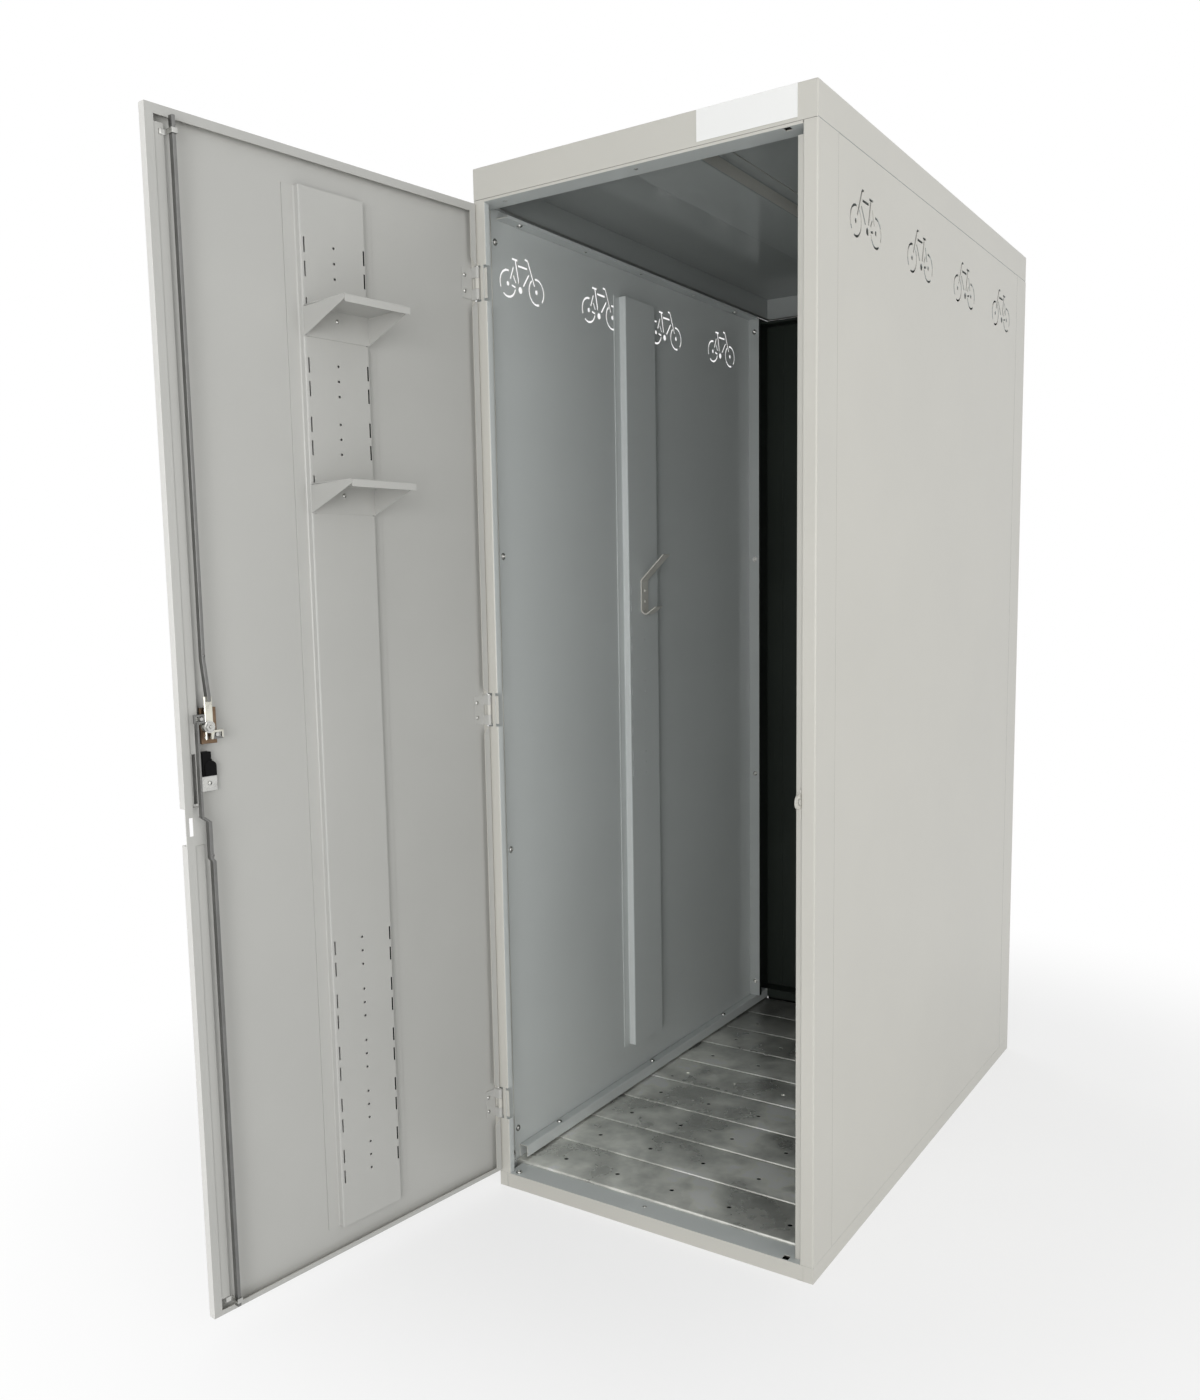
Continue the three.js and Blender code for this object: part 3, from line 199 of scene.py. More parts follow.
class LockerFasteners(bpy.types.PropertyGroup):
    bolt_radius: FloatProperty(
        name="Bolt head radius", description="Radius of the heads of the frame bolts",
        subtype="DISTANCE", unit="LENGTH", min=0, default=5.2 * MM)
    screw_radius: FloatProperty(
        name="Screw head radius", description="Radius of the heads of the small screws",
        subtype="DISTANCE", unit="LENGTH", min=0, default=3.8 * MM)
    rivet_radius: FloatProperty(
        name="Rivet head radius", description="Radius of the heads of the blind rivets",
        subtype="DISTANCE", unit="LENGTH", min=0, default=3.2 * MM)


class LockerStudio(bpy.types.PropertyGroup):
    sky: FloatProperty(
        name="Sky strength", description="Strength of the even light from all round",
        min=0, default=0.54)
    key: FloatProperty(
        name="Key light", description="Power of the large light on the right",
        subtype="POWER", unit="POWER", min=0, default=35.0)
    fill: FloatProperty(
        name="Fill light", description="Power of the large light at the front",
        subtype="POWER", unit="POWER", min=0, default=80.0)
    back: FloatProperty(
        name="Back light", description="Power of the large light at the rear left",
        subtype="POWER", unit="POWER", min=0, default=42.0)
    shadow_share: FloatProperty(
        name="Shadow share", description="How much of the shadow on the floor is kept",
        subtype="FACTOR", min=0, max=1, default=0.36)


# ------------ node helpers
def wire(tree, made, inputs):
    """Sets or links the inputs of a node, named or numbered."""
    for key, value in inputs.items():
        socket = made.inputs[key]
        if isinstance(value, bpy.types.NodeSocket):
            tree.links.new(value, socket)
        else:
            socket.default_value = value
    return made


def add(tree, kind, inputs=None, **settings):
    made = tree.nodes.new(kind)
    for key, value in settings.items():
        setattr(made, key, value)
    return wire(tree, made, inputs or {})


def ramp(tree, factor, low, high, low_out=0.0, high_out=1.0):
    """Value that goes from one number to another between two limits."""
    made = add(tree, "ShaderNodeMapRange", {
        "Value": factor, "From Min": low, "From Max": high,
        "To Min": low_out, "To Max": high_out})
    made.interpolation_type = "SMOOTHSTEP"
    return made.outputs["Result"]


def mix(tree, factor, first, second):
    """Blend of two colours."""
    return add(tree, "ShaderNodeMix", {0: factor, 6: first, 7: second},
               data_type="RGBA").outputs[2]


def maths(tree, operation, *values):
    return add(tree, "ShaderNodeMath", dict(enumerate(values)), operation=operation).outputs[0]


def vector(tree, x=0.0, y=0.0, z=0.0):
    return add(tree, "ShaderNodeCombineXYZ", {"X": x, "Y": y, "Z": z}).outputs[0]


def scaled(tree, colour, factor):
    """A colour made lighter or darker."""
    return add(tree, "ShaderNodeVectorMath", {0: colour, "Scale": factor},
               operation="SCALE").outputs["Vector"]


def rgb(colour):
    return (*colour, 1.0)


def noise(tree, place, scale, detail=2.0, rough=0.5):
    return add(tree, "ShaderNodeTexNoise", {
        "Vector": place, "Scale": scale, "Detail": detail, "Roughness": rough,
    }).outputs["Fac"]


# ------------ shader groups
def shader_group(name, inputs, outputs):
    """New shader group with named inputs, their values and named outputs."""
    tree = bpy.data.node_groups.new(name, "ShaderNodeTree")
    for label, kind, value in inputs:
        made = tree.interface.new_socket(
            label, in_out="INPUT", socket_type="NodeSocket" + kind)
        if value is not None:
            made.default_value = value
    for label, kind in outputs:
        tree.interface.new_socket(label, in_out="OUTPUT", socket_type="NodeSocket" + kind)
    return tree, tree.nodes.new("NodeGroupInput").outputs, tree.nodes.new("NodeGroupOutput")


def orange_peel_group():
    """Fine waves that a sprayed coat has, as a height."""
    tree, given, result = shader_group("Orange Peel", [
        ("Place", "Vector", None),
        ("Wave Scale", "Float", 260.0),
        ("Sag", "Float", 0.4),
    ], [("Height", "Float")])
    fine = noise(tree, given["Place"], given["Wave Scale"], detail=1.0)
    broad = noise(tree, given["Place"], scale=3.2, detail=1.0)
    sag = maths(tree, "MULTIPLY", broad, given["Sag"])
    wire(tree, result, {"Height": maths(tree, "ADD", fine, sag)})
    return tree


def surface_variation_group():
    """Slow changes of tone, and faint dulled patches where hands and dust reach."""
    tree, given, result = shader_group("Surface Variation", [
        ("Place", "Vector", None),
        ("Colour", "Color", (0.5, 0.5, 0.5, 1)),
        ("Tone Amount", "Float", 0.05),
        ("Patch Scale", "Float", 2.5),
        ("Roughness", "Float", 0.35),
        ("Roughness Spread", "Float", 0.08),
    ], [("Colour", "Color"), ("Roughness", "Float")])
    broad = noise(tree, given["Place"], given["Patch Scale"], detail=3.0, rough=0.55)
    speck = noise(tree, given["Place"], scale=90.0, rough=0.6)
    tone = ramp(tree, broad, low=0.3, high=0.7, low_out=-1.0)
    bright = maths(tree, "ADD", maths(tree, "MULTIPLY", tone, given["Tone Amount"]), 1.0)
    toned = scaled(tree, given["Colour"], bright)
    dull = ramp(tree, speck, low=0.35, high=0.75, low_out=-0.4)
    both = maths(tree, "ADD", dull, tone)
    spread = maths(tree, "MULTIPLY_ADD", both, given["Roughness Spread"], given["Roughness"])
    wire(tree, result, {"Colour": toned, "Roughness": spread})
    return tree


# Shares of the crystals, stains and streaks in the zinc's pattern, and its middle level
CRYSTAL_SHARE = 0.10
STAIN_SHARE = 0.65
STREAK_SHARE = 0.35
PATTERN_MIDDLE = 0.62


def spangle_group():
    """Crystal pattern and stains of hot-dip zinc."""
    tree, given, result = shader_group("Zinc Spangle", [
        ("Place", "Vector", None),
        ("Colour", "Color", (0.4, 0.42, 0.42, 1)),
        ("Crystal Scale", "Float", 45.0),
        ("Stain Scale", "Float", 7.0),
        ("Contrast", "Float", 0.4),
    ], [("Colour", "Color"), ("Roughness", "Float"),
        ("Height", "Float")])
    warp = add(tree, "ShaderNodeTexNoise",
               {"Vector": given["Place"], "Scale": 25.0, "Detail": 2.0})
    bend = add(tree, "ShaderNodeVectorMath",
               {0: warp.outputs["Color"], 1: (0.03, 0.03, 0.03)}, operation="MULTIPLY")
    moved = add(tree, "ShaderNodeVectorMath",
                {0: given["Place"], 1: bend.outputs[0]}, operation="ADD")
    crystals = add(tree, "ShaderNodeTexVoronoi",
                   {"Vector": moved.outputs[0], "Scale": given["Crystal Scale"]})
    facet = add(tree, "ShaderNodeSeparateColor", {0: crystals.outputs["Color"]})
    stain = noise(tree, given["Place"], given["Stain Scale"], detail=4.0, rough=0.55)
    blot = ramp(tree, stain, low=0.36, high=0.66)
    streak = ramp(tree, noise(tree, moved.outputs[0], scale=15.0), low=0.30, high=0.70)
    part = maths(tree, "MULTIPLY", facet.outputs[0], CRYSTAL_SHARE)
    more = maths(tree, "MULTIPLY_ADD", blot, STAIN_SHARE, part)
    pattern = maths(tree, "MULTIPLY_ADD", streak, STREAK_SHARE, more)
    level = maths(tree, "SUBTRACT", pattern, PATTERN_MIDDLE)
    gain = maths(tree, "MULTIPLY_ADD", level, given["Contrast"], 1.0)
    toned = scaled(tree, given["Colour"], gain)
    rough = ramp(tree, pattern, low=0.1, high=1.1, low_out=0.26, high_out=0.50)
    wire(tree, result, {"Colour": toned, "Roughness": rough, "Height": pattern})
    return tree


GROUPS = {}


def groups():
    if not GROUPS:
        GROUPS["peel"] = orange_peel_group()
        GROUPS["variation"] = surface_variation_group()
        GROUPS["spangle"] = spangle_group()
    return GROUPS


def use_group(tree, key, inputs):
    made = tree.nodes.new("ShaderNodeGroup")
    made.node_tree = groups()[key]
    return wire(tree, made, inputs).outputs


def new_material(name):
    made = bpy.data.materials.new(name)
    made.use_nodes = True
    tree = made.node_tree
    shader = tree.nodes["Principled BSDF"]
    place = tree.nodes.new("ShaderNodeTexCoord").outputs["Object"]
    return made, tree, shader, place


def bumped(tree, shader, height, strength, distance):
    made = add(tree, "ShaderNodeBump",
               {"Strength": strength, "Distance": distance, "Height": height})
    tree.links.new(made.outputs["Normal"], shader.inputs["Normal"])


def varied_material(name, colour, tone, roughness, spread, patch_scale=2.5):
    """New material whose colour and roughness change slowly from place to place."""
    made, tree, shader, place = new_material(name)
    varied = use_group(tree, "variation", {
        "Place": place, "Colour": rgb(colour), "Tone Amount": tone,
        "Patch Scale": patch_scale, "Roughness": roughness, "Roughness Spread": spread})
    tree.links.new(varied["Colour"], shader.inputs["Base Color"])
    tree.links.new(varied["Roughness"], shader.inputs["Roughness"])
    return made, tree, shader, place


def painted(name, colour, roughness, spread=0.015, tone=0.02, peel=None, sheen=0.5):
    """Powder-coated sheet: slow tone changes and orange peel."""
    made, tree, shader, place = varied_material(name, colour, tone, roughness, spread)
    strength = bpy.context.scene.locker_finish.peel_height if peel is None else peel
    waves = use_group(tree, "peel", {"Place": place})
    bumped(tree, shader, waves["Height"], strength, distance=0.6 * MM)
    shader.inputs["Specular IOR Level"].default_value = sheen
    return made


def plated(name, colour, roughness, tone=0.12, scratch=0.15, grain=700.0):
    """Electroplated steel: a soft sheen with faint rubbing."""
    made, tree, shader, place = varied_material(
        name, colour, tone, roughness, spread=0.1, patch_scale=40.0)
    shader.inputs["Metallic"].default_value = 1.0
    bumped(tree, shader, noise(tree, place, grain, detail=3.0), scratch, distance=0.1 * MM)
    return made


def galvanised(name, colour, contrast):
    """Zinc with stains, a little lighter at the front and darker towards the closed rear end
    with painted shade.
    """
    made, tree, shader, place = new_material(name)
    bloom = use_group(tree, "spangle", {
        "Place": place, "Colour": rgb(colour), "Contrast": contrast})
    along = add(tree, "ShaderNodeSeparateXYZ", {0: place}).outputs["Y"]
    # Painted shade: the colour is a little lighter at the front and darkens to about a third at
    # the rear end
    floor_rear_shade = ramp(tree, along, low=0.0, high=0.6, low_out=1.05, high_out=0.35)
    tree.links.new(scaled(tree, bloom["Colour"], floor_rear_shade), shader.inputs["Base Color"])
    tree.links.new(bloom["Roughness"], shader.inputs["Roughness"])
    shader.inputs["Metallic"].default_value = 0.7
    bumped(tree, shader, bloom["Height"], strength=0.05, distance=0.3 * MM)
    return made


def moulded(name, colour, roughness, sheen=0.5):
    """Moulded plastic with a fine grain."""
    made, tree, shader, place = varied_material(
        name, colour, tone=0.15, roughness=roughness, spread=0.08, patch_scale=30.0)
    shader.inputs["Specular IOR Level"].default_value = sheen
    grain = noise(tree, place, scale=1400.0)
    bumped(tree, shader, grain, strength=0.3, distance=0.15 * MM)
    return made


MATERIALS = {}


def finishes():
    """The finishes, by name. Those of the record's material slots have the slot's name."""
    if not MATERIALS:
        given = bpy.context.scene.locker_finish
        coat = given.paint_roughness
        MATERIALS.update({
            "powder_coat": painted("Grey powder coat", given.paint, coat),
            # Painted light: a lighter, cooler copy of the coat for the faces inside the cabinet
            "inside": painted(
                "Grey powder coat inside", given.inside_lit_paint, given.inside_roughness,
                spread=0.012),
            # Painted shade: a near-black copy of the coat on the inner faces at the rear
            "rear": painted(
                "Powder coat in the dark rear", given.rear_shade_paint, roughness=0.46,
                spread=0.03, tone=0.12, sheen=0.2),
            # Painted shade: a darker, glossy copy of the coat under the roof and on forward
            # faces inside
            "ceiling": painted(
                "Glossy coat under the roof", given.ceiling_shade_paint, roughness=0.12,
                spread=0.006, peel=0.02, sheen=0.25),
            # Painted shade: a darker copy of the coat inside the door
            "door_inside_shade": painted("Grey powder coat inside the door", given.door_shade_paint, coat),
            "galvanised": galvanised("Galvanised sheet", given.zinc, contrast=0.62),
            "zinc_steel": plated("Zinc plated steel", given.plating, roughness=0.24),
            "bar_steel": plated(
                "Drawn bar steel", given.bar_steel, roughness=0.42, tone=0.08, scratch=0.05,
                grain=300.0),
            "yellow_zinc": plated(
                "Yellow zinc plate", (0.17, 0.115, 0.075), roughness=0.40, tone=0.30),
            "bright_plate": plated(
                "Bright zinc plate", (0.60, 0.59, 0.52), roughness=0.26, tone=0.15),
            # Dust and painted shade: a dark coat on the broken rims along the seams
            "seam_dust_shade": painted(
                "Coat with dust in the seams", given.seam_dust_shade_paint, roughness=0.6, spread=0.05,
                tone=0.1),
            # Painted highlight: a lighter copy of the coat on the door's free edge
            "free_edge_highlight": painted("Light edge of the door", given.edge_highlight_paint, coat),
            "black_plastic": moulded(
                "Black nylon", (0.003, 0.003, 0.0035), roughness=0.5, sheen=0.12),
            "white_plate": painted(
                "White enamelled plate", (0.86, 0.86, 0.85), roughness=0.22, spread=0.01,
                tone=0.01, peel=0.03),
        })
    return MATERIALS


SLOT_OF = {row["node"]: row["material_slot"] for row in frame["record"]["subparts"]}


# ------------ mesh helpers
def welded(node):
    """Copy of a CAD node's mesh with its loose triangles joined into flat faces."""
    work = bmesh.new()
    work.from_mesh(NODES[node].data)
    bmesh.ops.remove_doubles(work, verts=work.verts, dist=WELD)
    bmesh.ops.dissolve_limit(
        work, angle_limit=FLAT_ANGLE, verts=work.verts, edges=work.edges)
    return work


def face_reach(face, edge):
    """How far a face goes from one of its edges."""
    start = edge.verts[0].co
    along = (edge.verts[1].co - start).normalized()
    return max((v.co - start - along * (v.co - start).dot(along)).length for v in face.verts)


def corner_edges(work, length, chosen):
    """Outer corner edges of a least length whose two faces have the chosen reaches."""
    found = []
    for edge in work.edges:
        if len(edge.link_faces) != 2 or edge.calc_length() < length:
            continue
        if not edge.is_convex or edge.calc_face_angle() < CORNER_ANGLE:
            continue
        if chosen(*sorted(face_reach(face, edge) for face in edge.link_faces)):
            found.append(edge)
    return found


def fold_edges(work):
    """Outer corner edges between two wide faces, where a sheet is folded."""
    return corner_edges(work, WIDE_REACH, lambda less, more: less > WIDE_REACH)


def rim_edges(work):
    """Long outer edges of the narrow faces where a sheet was cut."""
    return corner_edges(
        work, RIM_LENGTH, lambda less, more: THIN_REACH < less < WIDE_REACH < more)


def rounded(work, edges, radius, steps, mark=SAME_MARK):
    """Rolls edges. The new faces get the material of that mark."""
    if edges:
        bmesh.ops.bevel(
            work, geom=edges, offset=radius, offset_type="OFFSET", segments=steps,
            profile=0.5, affect="EDGES", clamp_overlap=True, material=mark)


def put_in_order(work):
    """Sorts points, edges and faces by place. Bevels leave another order on each run."""
    def place(part):
        return sorted(tuple(vert.co) for vert in getattr(part, "verts", (part,)))

    for parts in (work.verts, work.edges, work.faces):
        for index, part in enumerate(sorted(parts, key=place)):
            part.index = index
        parts.sort()


def shade(mesh):
    """Smooth shading with sharp corners."""
    mesh.polygons.foreach_set("use_smooth", [True] * len(mesh.polygons))
    mesh.set_sharp_from_angle(angle=SMOOTH_ANGLE)


def linked(name, data):
    """New object in the scene."""
    made = bpy.data.objects.new(name, data)
    bpy.context.scene.collection.objects.link(made)
    return made


def modified(start, kind, settle):
    """Plain mesh that a modifier makes from a start mesh."""
    carrier = linked(start.name, start)
    modifier = carrier.modifiers.new(start.name, kind)
    settle(modifier)
    graph = bpy.context.evaluated_depsgraph_get()
    mesh = bpy.data.meshes.new_from_object(carrier.evaluated_get(graph), depsgraph=graph)
    carrier.modifiers.remove(modifier)
    bpy.data.objects.remove(carrier)
    return mesh


def evenly_shaded(mesh):
    """The mesh with wide flat faces that stay flat up to their rounded edges."""
    def settle(modifier):
        modifier.keep_sharp = True
        modifier.weight = FLAT_FACE_WEIGHT

    shade(mesh)
    evened = modified(mesh, "WEIGHTED_NORMAL", settle)
    bpy.data.meshes.remove(mesh)
    return evened


def finish_piece(mesh, name, nodes=(), body=None, slot=None, finish=None):
    """Puts a finished mesh in the scene, on its body, in place of its CAD nodes."""
    mesh.name = name
    piece = linked(name, mesh)
    slot = slot or SLOT_OF[nodes[0]]
    if not mesh.materials:
        mesh.materials.append(finishes()[finish or slot])
    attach(piece, body or BODY_OF[nodes[0]])
    if nodes:
        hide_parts(*nodes)
    return piece


def coat_inside(mesh, inner):
    """Gives the faces that look into the cabinet the finish of its inside, with painted light
    and shade.
    """
    for finish in ("powder_coat", inner, "ceiling", "seam_dust_shade"):
        mesh.materials.append(finishes()[finish])
    middle = Vector((0, 0, HEIGHT / 2)) * MM
    reach = Vector((RIGHT - SEAM, BACK - SEAM, HEIGHT / 2 - SEAM)) * MM
    for face in mesh.polygons:
        if face.material_index == SEAM_MARK:
            continue
        way = face.center - middle
        within = all(abs(way[axis]) < reach[axis] for axis in range(3))
        if within and face.normal.dot(way) < 0:
            # Forward faces nearer the front than this limit get the glossy coat's painted shade
            forward = face.normal.y < -LOOKS_FORWARD and way.y < REAR_FRONTS
            face.material_index = FRONT_MARK if forward else INNER_MARK


def coat_part(mesh, keys, chosen):
    """Gives each face one of the finishes, by its place and way in the door's frame."""
    for key in keys:
        mesh.materials.append(finishes()[key])
    back = DOOR_TURN.inverted()
    for face in mesh.polygons:
        face.material_index = chosen(back @ face.center / MM, back.to_3x3() @ face.normal)


def folded_copy(node, name, radius=None, inner=None, finish=None, part=None):
    """A CAD sheet piece with its outer folds rounded and its cut rims broken."""
    given = bpy.context.scene.locker_folds
    work = welded(node)
    rounded(work, fold_edges(work), radius or given.fold_radius, given.fold_steps)
    # Broken rims of pieces with an inside get the seams' coat of dust and painted shade
    rim_mark = SEAM_MARK if inner else SAME_MARK
    rounded(work, rim_edges(work), given.rim_radius, 1, rim_mark)
    put_in_order(work)
    mesh = bpy.data.meshes.new(name)
    work.to_mesh(mesh)
    work.free()
    mesh = evenly_shaded(mesh)
    if inner:
        coat_inside(mesh, inner)
    if part:
        coat_part(mesh, *part)
    return finish_piece(mesh, name, [node], finish=finish)


# ------------ grown pieces
def growth(name, inputs):
    """New Geometry Nodes tree with named inputs."""
    tree = bpy.data.node_groups.new(name, "GeometryNodeTree")
    tree.interface.new_socket("Geometry", in_out="INPUT", socket_type="NodeSocketGeometry")
    for label, kind in inputs:
        tree.interface.new_socket(label, in_out="INPUT", socket_type="NodeSocket" + kind)
    tree.interface.new_socket("Geometry", in_out="OUTPUT", socket_type="NodeSocketGeometry")
    return tree, tree.nodes.new("NodeGroupInput").outputs, tree.nodes.new("NodeGroupOutput")


def grow(tree, start, values):
    """Plain mesh that a tree makes from a start mesh and the values of its inputs."""
    def settle(modifier):
        modifier.node_group = tree
        for item in tree.interface.items_tree:
            if item.in_out == "INPUT" and item.name in values:
                modifier[item.identifier] = values[item.name]

    mesh = modified(start, "NODES", settle)
    if not mesh.polygons:
        raise RuntimeError(tree.name + " made nothing")
    return mesh


def cut_away(tree, shape, cutters):
    made = add(tree, "GeometryNodeMeshBoolean", operation="DIFFERENCE", solver="EXACT")
    return wire(tree, made, {"Mesh 1": shape, "Mesh 2": cutters}).outputs[0]


def finished(tree, result, shape, material):
    """Ends a tree: real faces, with the material set."""
    whole = add(tree, "GeometryNodeRealizeInstances", {0: shape})
    coated = add(tree, "GeometryNodeSetMaterial", {0: whole.outputs[0], "Material": material})
    wire(tree, result, {0: coated.outputs[0]})


def plank_tree():
    """Tray folded from sheet along a line, with a row of holes."""
    tree, given, result = growth("Floor Plank", [
        ("Length", "Float"), ("Depth", "Float"), ("Drop", "Float"), ("Sheet", "Float"),
        ("Edge Radius", "Float"), ("Hole Radius", "Float"), ("Hole Pitch", "Float"),
        ("Hole Count", "Int"), ("Hole Inset", "Float"), ("Corner", "Vector"),
        ("Material", "Material")])
    half = maths(tree, "MULTIPLY", given["Sheet"], 0.5)
    far = maths(tree, "SUBTRACT", given["Depth"], half)
    low = maths(tree, "MULTIPLY", given["Drop"], -1.0)
    high = maths(tree, "MULTIPLY", half, -1.0)
    line = add(tree, "GeometryNodeCurvePrimitiveQuadrilateral", {
        "Point 1": vector(tree, half, low), "Point 2": vector(tree, half, high),
        "Point 3": vector(tree, far, high), "Point 4": vector(tree, far, low)}, mode="POINTS")
    opened = add(tree, "GeometryNodeSetSplineCyclic", {0: line.outputs[0], "Cyclic": False})
    rolled = add(tree, "GeometryNodeFilletCurve", {
        0: opened.outputs[0], "Count": 5, "Radius": given["Edge Radius"],
        "Limit Radius": True}, mode="POLY")
    upright = add(tree, "GeometryNodeSetCurveNormal", {0: rolled.outputs[0]}, mode="Z_UP")
    section = add(tree, "GeometryNodeCurvePrimitiveQuadrilateral", {
        "Width": given["Sheet"], "Height": given["Length"]}, mode="RECTANGLE")
    tray = add(tree, "GeometryNodeCurveToMesh", {
        0: upright.outputs[0], 1: section.outputs[0], "Fill Caps": True})
    turned = add(tree, "GeometryNodeTransform", {
        0: tray.outputs[0], "Rotation": (math.pi / 2, 0, math.pi / 2)})
    span = maths(tree, "MULTIPLY", maths(tree, "SUBTRACT", given["Hole Count"], 1.0), -0.5)
    row = add(tree, "GeometryNodeMeshLine", {
        "Count": given["Hole Count"],
        "Start Location": vector(
            tree, maths(tree, "MULTIPLY", span, given["Hole Pitch"]), given["Hole Inset"]),
        "Offset": vector(tree, given["Hole Pitch"])}, mode="OFFSET")
    drill = add(tree, "GeometryNodeMeshCylinder", {
        "Vertices": 28, "Radius": given["Hole Radius"],
        "Depth": maths(tree, "MULTIPLY", given["Sheet"], 6.0)})
    drills = add(tree, "GeometryNodeInstanceOnPoints", {
        0: row.outputs[0], "Instance": drill.outputs[0]})
    cutters = add(tree, "GeometryNodeRealizeInstances", {0: drills.outputs[0]})
    drilled = cut_away(tree, turned.outputs[0], cutters.outputs[0])
    placed = add(tree, "GeometryNodeTransform", {0: drilled, "Translation": given["Corner"]})
    finished(tree, result, placed.outputs[0], given["Material"])
    return tree


# How far under its rim a dome of radius 1 keeps its points
DOME_SLACK = 0.001


def fastener_tree():
    """Domed heads with a washer and a recess, one on each point, along its facing."""
    tree, given, result = growth("Fasteners", [
        ("Head Radius", "Float"), ("Head Height", "Float"), ("Washer Radius", "Float"),
        ("Washer Height", "Float"), ("Recess Radius", "Float"), ("Recess Sides", "Int"),
        ("Material", "Material")])
    ball = add(tree, "GeometryNodeMeshUVSphere", {"Segments": 20, "Rings": 12, "Radius": 1.0})
    height = add(tree, "ShaderNodeSeparateXYZ",
                 {0: tree.nodes.new("GeometryNodeInputPosition").outputs[0]}).outputs[2]
    below = add(tree, "FunctionNodeCompare", {0: height, 1: -DOME_SLACK},
                operation="LESS_THAN")
    upper = add(tree, "GeometryNodeDeleteGeometry", {0: ball.outputs[0]}, domain="POINT")
    tree.links.new(below.outputs[0], upper.inputs["Selection"])
    closed = add(tree, "GeometryNodeConvexHull", {0: upper.outputs[0]})
    head = add(tree, "GeometryNodeTransform", {
        0: closed.outputs[0],
        "Translation": vector(tree, z=given["Washer Height"]),
        "Scale": vector(tree, given["Head Radius"], given["Head Radius"],
                        given["Head Height"])})
    top = maths(tree, "ADD", given["Washer Height"], given["Head Height"])
    drive = add(tree, "GeometryNodeMeshCylinder", {
        "Vertices": given["Recess Sides"], "Radius": given["Recess Radius"],
        "Depth": given["Head Height"]})
    lifted = add(tree, "GeometryNodeTransform", {
        0: drive.outputs[0], "Translation": vector(tree, z=top)})
    recessed = cut_away(tree, head.outputs[0], lifted.outputs[0])
    disc = add(tree, "GeometryNodeMeshCylinder", {
        "Vertices": 24, "Radius": given["Washer Radius"], "Depth": given["Washer Height"]})
    washer = add(tree, "GeometryNodeTransform", {
        0: disc.outputs[0],
        "Translation": vector(tree, z=maths(tree, "MULTIPLY", given["Washer Height"], 0.5))})
    both = tree.nodes.new("GeometryNodeJoinGeometry")
    tree.links.new(recessed, both.inputs[0])
    tree.links.new(washer.outputs[0], both.inputs[0])
    facing = add(tree, "GeometryNodeInputNamedAttribute", {"Name": "facing"},
                 data_type="FLOAT_VECTOR")
    turned = add(tree, "FunctionNodeAlignRotationToVector", {
        "Vector": facing.outputs[0]}, axis="Z")
    spread = add(tree, "GeometryNodeInstanceOnPoints", {
        0: given["Geometry"], "Instance": both.outputs[0], "Rotation": turned.outputs[0]})
    finished(tree, result, spread.outputs[0], given["Material"])
    return tree


TREES = {}


def tree_of(name, maker):
    if name not in TREES:
        TREES[name] = maker()
    return TREES[name]


SHAPES = {}

# How far off its given place a fastener looks for the surface that it sits on
FASTENER_REACH = 12.0 * MM


def seat(node, place, facing):
    """Point of a CAD node's surface under a fastener, in metres."""
    if node not in SHAPES:
        work = welded(node)
        SHAPES[node] = BVHTree.FromBMesh(work)
        work.free()
    start = place + facing * FASTENER_REACH
    hit = SHAPES[node].ray_cast(start, -facing, 2 * FASTENER_REACH)[0]
    if hit is None:
        raise RuntimeError(f"no face of {node} under a fastener at {tuple(place)}")
    return hit


def fasteners(name, body, seats, finish, slot, sizes):
    """One mesh of like fasteners. Each seat is a node, a place and a facing."""
    points = bpy.data.meshes.new(name + "_points")
    turn = Matrix.Identity(4) if body == "cabinet" else DOOR_TURN
    places, ways = [], []
    for node, place, facing in seats:
        way = turn.to_3x3() @ Vector(facing)
        places.append(seat(node, turn @ (Vector(place) * MM), way))
        ways.append(way)
    points.from_pydata(places, [], [])
    held = points.attributes.new("facing", "FLOAT_VECTOR", "POINT")
    held.data.foreach_set("vector", [part for way in ways for part in way])
    keys = ("Head Radius", "Head Height", "Washer Radius", "Washer Height", "Recess Radius")
    values = {key: size * MM for key, size in zip(keys, sizes)}
    mesh = grow(tree_of("fasteners", fastener_tree), points, {
        **values, "Recess Sides": sizes[len(keys)], "Material": finishes()[finish]})
    shade(mesh)
    return finish_piece(mesh, name, body=body, slot=slot)


# ------------ operators
class LOCKER_OT_cabinet_sheets(bpy.types.Operator):
    """Rounds the folds of the cabinet's sheets and gives them their finish"""
    bl_idname = "locker.cabinet_sheets"
    bl_label = "Cabinet sheets"

    # Finish of the faces that look into the cabinet, where a piece has some: a copy of the coat
    # with painted light (inside) or painted shade (rear, ceiling)
    pieces = {
        "sill_front": "inside", "sill_rear": "rear", "sill_left": "inside",
        "sill_right": "inside", "base_cross_rail": None, "post_front_left": "inside",
        "post_front_right": "inside", "post_rear_left": "rear",
        "post_rear_right": "rear", "header_front": "inside", "header_rear": "rear",
        "top_rail_left": "inside", "top_rail_right": "inside", "roof_cap": "ceiling",
        "roof_stiffener": "ceiling", "sign_plate": None, "side_panel_left": "inside",
        "side_panel_right": "inside", "rear_panel": "rear", "coat_hook": None,
        "padlock_eye": None,
    }

    def execute(self, context):
        for node, inner in self.pieces.items():
            folded_copy(node, node + "_finished", inner=inner)
        # The wall channel takes the lighter inside coat, with painted light
        folded_copy("wall_channel", "wall_channel_finished", finish="inside")
        return {"FINISHED"}


